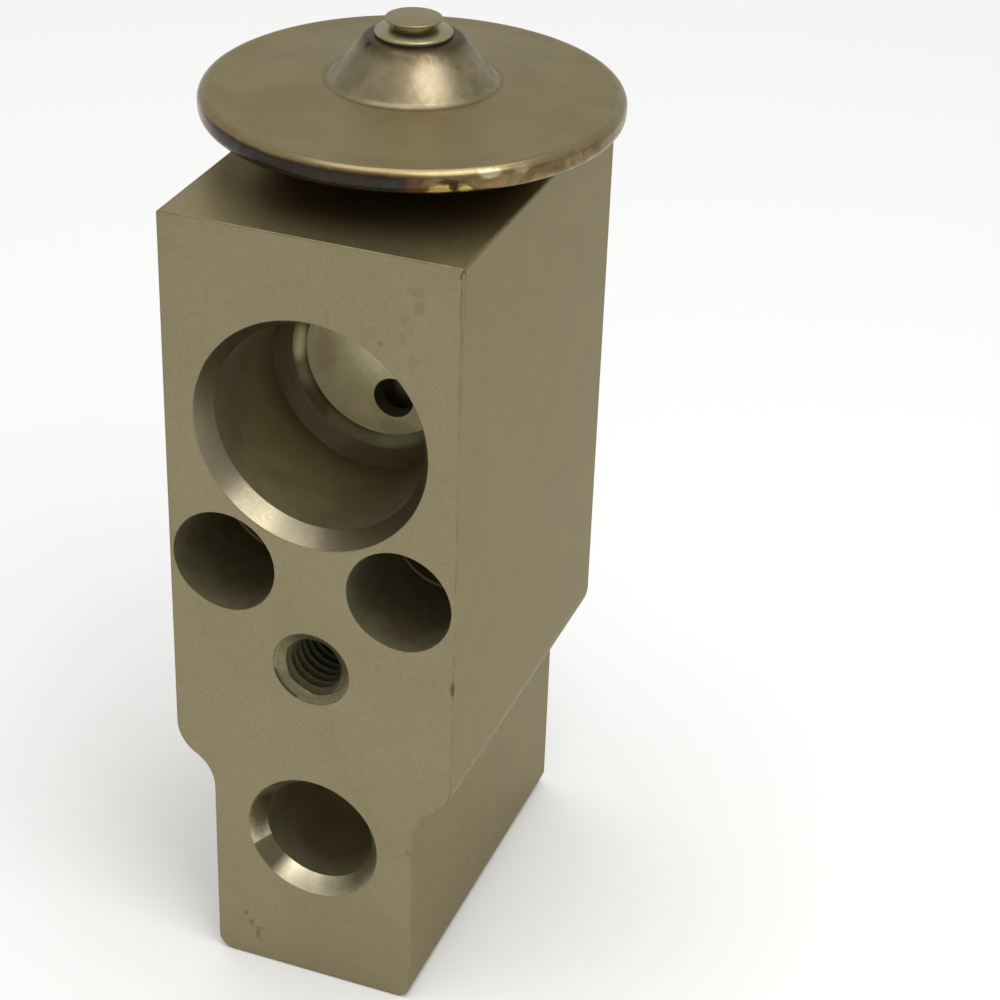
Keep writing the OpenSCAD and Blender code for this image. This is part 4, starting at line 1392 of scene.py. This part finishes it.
        # Partly heat tint, partly painted reflection: the bead is darkened low down and most at the front,
        # where it would mirror the shaded block top.
        finish = WeldFinish("rim_weld_bead", (148, 136, 102), 0.27, grain_mm=0.5, grain_tone=0.1,
                            cloud_mm=2.5, cloud_tone=0.4, low=self.rim_low, high=self.rim_high,
                            heat_low=0.3, heat_high=0.08, unrest=0.4, dark_front_heat=0.42,
                            flank_heat=0.2, border=0.8, smudges=self.rim_tints_and_painted_light)

        def shape(angle: float, radius: float, height: float) -> float:
            """Draws the bead in a little, by a sum of waves round the rim."""
            wave = sum(math.sin(count * angle + start) for count, start in self.ripple_waves)
            share = (radius - self.weld_r) / self.weld_w
            return radius - share * self.rim_ripple * (0.5 + 0.5 * wave / len(self.ripple_waves))

        made = revolve("rim_weld_bead", rounded(corners, 8), [finish], 256, shape=shape)
        return self.place(made, "rim_weld", "weld_metal")

    def charging_plug(self) -> bpy.types.Object:
        """The plug with its low round head."""
        under = self.plug_high - self.plug_head_t
        bend = self.plug_head_bend
        stem = self.plug_stem_r - self.plug_play
        corners = [
            Corner(0.0, self.plug_low), Corner(stem, self.plug_low, self.plug_tip_bend),
            Corner(stem, under), Corner(self.plug_r, under, bend),
            Corner(self.plug_r, self.plug_high, bend), Corner(0.0, self.plug_high)]
        made = revolve("charging_plug_head", rounded(corners), [self.plug], SMALL_SEGMENTS * 2)
        return self.place(made, "charging_plug", "plug_steel")

    def plug_weld(self) -> bpy.types.Object:
        """The ring weld round the plug."""
        top = self.ring_high
        side_top = self.dome_top_z + self.ring_side
        corners = [
            Corner(self.plug_stem_r, self.dome_top_z), Corner(self.ring_r, self.dome_top_z),
            Corner(self.ring_r, side_top, self.ring_side_bend),
            Corner(self.plug_stem_r + self.ring_flat, top, self.ring_top_bend), Corner(self.plug_stem_r, top)]
        made = revolve("plug_weld_ring", rounded(corners), [self.bead], SMALL_SEGMENTS * 2)
        return self.place(made, "plug_weld", "weld_ring")

    @staticmethod
    def place(made: bpy.types.Object, node: str, slot: str) -> bpy.types.Object:
        """Shades a piece of the head and stands it in for its node.

        Args:
            made: The piece.
            node: The node that it replaces.
            slot: The record's material slot; not used.

        Returns:
            The piece.
        """
        smoothed(made)
        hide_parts(node)
        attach(made, "valve_body")
        return made

    def build(self) -> list[bpy.types.Object]:
        """Builds the pieces of the head."""
        return [self.upper_cover(), self.lower_cover(), self.rim(), self.charging_plug(), self.plug_weld()]


@dataclass
class ValveTrain:
    """What is inside: the spring in two halves, the adjusting plug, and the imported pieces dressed."""

    wire_r: float = 0.45
    spring_r: float = 2.9
    spring_turns: float = 5.5
    gap: float = 0.03
    sides: int = 14
    steps_per_turn: int = 40
    spring_wire: Finish = Finish("spring_wire", (176, 174, 168), 0.3, grain_mm=0.2, grain_tone=0.1)
    dressed: tuple[tuple[str, Finish], ...] = (
        ("diaphragm", Finish("foil", (200, 196, 186), 0.22, grain_mm=0.3, grain_tone=0.08)),
        ("damping_spring", Finish("leaf_strip", (190, 188, 180), 0.28, grain_mm=0.2, grain_tone=0.1)),
        ("diaphragm_pad", TurnedFinish("turned_pad", (178, 174, 164), 0.32, ring_mm=0.2)),
        ("operating_pin", TurnedFinish("ground_pin", (184, 182, 176), 0.22, ring_mm=0.1)),
        ("seal_retainer", TurnedFinish("turned_retainer", (178, 176, 168), 0.3, ring_mm=0.15)),
        ("sensing_rod", TurnedFinish("turned_rod", (170, 164, 144), 0.34, ring_mm=0.12)),
        ("valve_ball", Finish("polished_ball", (206, 206, 204), 0.08, grain_mm=0.6, grain_tone=0.04,
                              grain_depth=0.0005)),
        ("ball_carrier", TurnedFinish("turned_brass", (190, 156, 92), 0.3, ring_mm=0.16,
                                      stain=(150, 116, 60))),
        ("head_seal", Finish("head_seal_rubber", (26, 26, 26), 0.6, 0.0, grain_mm=0.3, stain=(38, 37, 36))),
        ("rod_seal", Finish("rod_seal_rubber", (24, 24, 25), 0.55, 0.0, grain_mm=0.3, stain=(36, 36, 36))),
        ("plug_seal", Finish("plug_seal_rubber", (25, 26, 25), 0.58, 0.0, grain_mm=0.3, stain=(37, 37, 36))))
    plug_thread: Thread = Thread(6.0)
    plug_thread_length: float = 5.0
    plug_nose_r: float = 5.35
    plug_groove: tuple[float, float, float] = (4.15, 8.8, 10.2)
    spring_pocket: tuple[float, float] = (3.5, 7.0)
    socket_af: float = 4.0
    socket_depth: float = 3.5
    thread_bevel: float = 0.5
    thread_bevel_share: float = 0.6
    thread_play: float = 0.06
    plug_finish: Finish = TurnedFinish("turned_plug", (172, 164, 136), 0.34, ring_mm=0.18,
                                       stain=(132, 122, 92))

    def coil_height(self, turn: float, low: float, high: float) -> float:
        """Height of the wire's middle after some turns, with one closed turn at each end."""
        closed = 2 * self.wire_r + self.gap
        pitch = (high - low - 2 * closed) / (self.spring_turns - 2)
        if turn < 1:
            return low + closed * turn
        if turn > self.spring_turns - 1:
            return high - closed * (self.spring_turns - turn)
        return low + closed + pitch * (turn - 1)

    def half_spring(self, name: str, first: float, last: float, low: float, high: float) -> bpy.types.Object:
        """A stretch of the spring, closed at both ends.

        Args:
            name: Name of the piece.
            first: Turn at which it starts.
            last: Turn at which it ends.
            low: Height of the wire's middle at the spring's lower end.
            high: Height of the wire's middle at its upper end.

        Returns:
            The stretch of wire.
        """
        rings = round((last - first) * self.steps_per_turn)
        vertices, faces = [], []
        for i in range(rings + 1):
            turn = first + (last - first) * i / rings
            angle = 2 * math.pi * turn
            level = self.coil_height(turn, low, high)
            for k in range(self.sides):
                round_wire = 2 * math.pi * k / self.sides
                r = self.spring_r + self.wire_r * math.cos(round_wire)
                vertices.append(Vector((r * math.cos(angle), r * math.sin(angle),
                                        level + self.wire_r * math.sin(round_wire))) * MM)
        for i in range(rings):
            for k in range(self.sides):
                m = (k + 1) % self.sides
                faces.append([i * self.sides + k, i * self.sides + m,
                              (i + 1) * self.sides + m, (i + 1) * self.sides + k])
        faces.append(list(range(self.sides)))
        faces.append(list(range(rings * self.sides, (rings + 1) * self.sides)))
        made = new_object(name, vertices, faces, [0] * len(faces), [self.spring_wire])
        smoothed(made)
        return made

    def bias_spring(self) -> list[bpy.types.Object]:
        """The spring in two halves that meet at its middle."""
        low, high = (corner.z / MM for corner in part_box("bias_spring"))
        low += self.wire_r
        high -= self.wire_r
        half = self.spring_turns / 2
        lower = self.half_spring("bias_spring_lower", 0.0, half, low, high)
        upper = self.half_spring("bias_spring_upper", half, self.spring_turns, low, high)
        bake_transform(lower)
        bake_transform(upper)
        for piece in (lower, upper):
            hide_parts("bias_spring")
        return [lower, upper]

    def adjusting_plug(self) -> bpy.types.Object:
        """The adjusting plug with its thread, seal groove, spring pocket and hexagon socket."""
        low, high = (corner.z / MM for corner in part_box("adjusting_plug"))
        thread = self.plug_thread
        thread_top = low + self.plug_thread_length

        def shape(angle: float, radius: float, height: float) -> float:
            """The thread of the plug, bevelled at both ends."""
            if radius < thread.major:
                return radius
            bevel = self.thread_bevel * self.thread_bevel_share
            ends = min(height - low, thread_top - height) + thread.minor - bevel
            return min(thread.radius(angle, height) - self.thread_play, ends)

        groove_r, groove_low, groove_high = self.plug_groove
        pocket_r, pocket_z = self.spring_pocket
        rows = [(0.0, low, 0)]
        rows += [(thread.major, level, 0) for level in thread.levels(low, thread_top)]
        rows += [(self.plug_nose_r, thread_top + HAIR, 0), (self.plug_nose_r, groove_low, 0),
                 (groove_r, groove_low, 0), (groove_r, groove_high, 0), (self.plug_nose_r, groove_high, 0),
                 (self.plug_nose_r, high, 0), (pocket_r, high, 0), (pocket_r, pocket_z, 0),
                 (0.0, pocket_z, 0)]
        made = revolve("adjusting_plug_threaded", rows, [self.plug_finish], SMALL_SEGMENTS, shape=shape)
        socket_r = self.socket_af / 2 / math.cos(math.pi / 6)
        end = low + self.socket_depth
        rows = [(0.0, low - 1, 0), (socket_r, low - 1, 0), (socket_r, end, 0), (0.0, end, 0)]
        cut_away(made, [revolve("hex_socket", rows, [self.plug_finish], 6)])
        smoothed(made)
        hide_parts("adjusting_plug")
        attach(made, "adjuster")
        return made

    def build(self) -> list[bpy.types.Object]:
        """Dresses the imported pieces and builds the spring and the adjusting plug."""
        pieces = []
        for node, finish in self.dressed:
            piece = frame["nodes"][node]
            piece.data.materials.clear()
            piece.data.materials.append(finish.material())
            pieces.append(piece)
        return pieces + self.bias_spring() + [self.adjusting_plug()]


@dataclass
class Studio:
    """The floor, the soft light and the camera.

    The camera's place and angles were solved from the corners and ports in the photograph. The floor
    lies floor_drop below the valve and is clear to rays shorter than floor_reach, so that light reaches
    the valve's bottom face and that face isn't black from below.
    """

    camera_place: tuple[float, float, float] = (77.24, -187.32, 160.53)
    heading: float = 19.947
    pitch: float = 30.629
    roll: float = 2.06
    lens: float = 90.36
    sensor: float = 36.0
    target: tuple[float, float, float] = (0.0, -18.0, 55.0)
    floor_half: float = 6000.0
    floor_drop: float = 0.05
    floor_reach: float = 0.5
    floor_colour: Bytes = (247, 247, 246)
    world_colour: Bytes = (214, 214, 214)
    key_direction: tuple[float, float, float] = (0.46, -0.27, 0.85)
    key_distance: float = 220.0
    key_side: float = 140.0
    key_radiance: float = 2.75
    top_height: float = 1000.0
    top_side: float = 900.0
    top_radiance: float = 1.6

    def floor(self) -> bpy.types.Object:
        """The plain pale floor, which is clear from below and to the shortest rays."""
        half = self.floor_half
        corners = [Vector((x * half, y * half, -self.floor_drop)) * MM
                   for x, y in ((-1, -1), (1, -1), (1, 1), (-1, 1))]
        mesh = bpy.data.meshes.new("floor")
        mesh.from_pydata([tuple(c) for c in corners], [], [[0, 1, 2, 3]])
        made = linked("floor", mesh)
        material = bpy.data.materials.new("pale_floor")
        material.use_nodes = True
        material.node_tree.nodes.clear()
        g = Graph(material.node_tree)
        paper = g.add("BsdfPrincipled", {}, {"Base Color": linear(self.floor_colour), "Roughness": 0.9,
                                             "Specular IOR Level": 0.1})
        clear = g.add("BsdfTransparent")
        under = g.add("NewGeometry").outputs["Backfacing"]
        close = g.math("LESS_THAN", g.add("LightPath").outputs["Ray Length"], self.floor_reach * MM)
        both = g.add("MixShader", {}, {0: g.math("MAXIMUM", under, close), 1: paper.outputs[0],
                                       2: clear.outputs[0]})
        g.add("OutputMaterial", {}, {"Surface": both.outputs[0]})
        mesh.materials.append(material)
        return made

    def world(self) -> None:
        """Even light from all round."""
        world = bpy.data.worlds.new("studio")
        world.use_nodes = True
        world.node_tree.nodes["Background"].inputs[0].default_value = linear(self.world_colour)
        bpy.context.scene.world = world

    def lamp(self, name: str, place: Vector, side: float, radiance: float) -> None:
        """Adds a square soft light that faces the valve.

        Args:
            name: Name of the lamp.
            place: Its middle, in millimetres.
            side: Length of its sides.
            radiance: How bright its face is, where 1 is white.
        """
        data = bpy.data.lights.new(name, "AREA")
        data.shape = "SQUARE"
        data.size = side * MM
        data.energy = radiance * math.pi * data.size ** 2
        made = linked(name, data)
        made.location = place * MM
        aim = Vector(self.target) - place
        made.rotation_euler = aim.to_track_quat("-Z", "Y").to_euler()

    def camera(self) -> None:
        """The camera at the photograph's place and angles."""
        data = bpy.data.cameras.new("camera")
        data.lens = self.lens
        data.sensor_width = self.sensor
        data.clip_start = 1 * MM
        made = linked("camera", data)
        turn = Matrix.Rotation(math.radians(self.heading), 4, "Z")
        tilt = Matrix.Rotation(math.radians(90 - self.pitch), 4, "X")
        spin = Matrix.Rotation(math.radians(self.roll), 4, "Z")
        made.matrix_world = Matrix.Translation(Vector(self.camera_place) * MM) @ turn @ tilt @ spin
        bpy.context.scene.camera = made

    def build(self) -> None:
        """Sets up the stage."""
        bpy.context.scene.view_settings.view_transform = "Standard"
        self.floor()
        self.world()
        target = Vector(self.target)
        direction = Vector(self.key_direction).normalized()
        self.lamp("key", target + direction * self.key_distance, self.key_side, self.key_radiance)
        self.lamp("top", target + Vector((0, 0, self.top_height)), self.top_side, self.top_radiance)
        self.camera()


def main() -> None:
    """Builds the stage and the valve, and reports each piece."""
    logging.basicConfig(level=logging.INFO, format="%(name)s: %(message)s")
    Studio().build()
    for assembly in (ValveBlock(), PowerHead(), ValveTrain()):
        for piece in assembly.build():
            LOG.info("%s: %s faces", piece.name, len(piece.data.polygons))


if __name__ == "__main__":
    main()
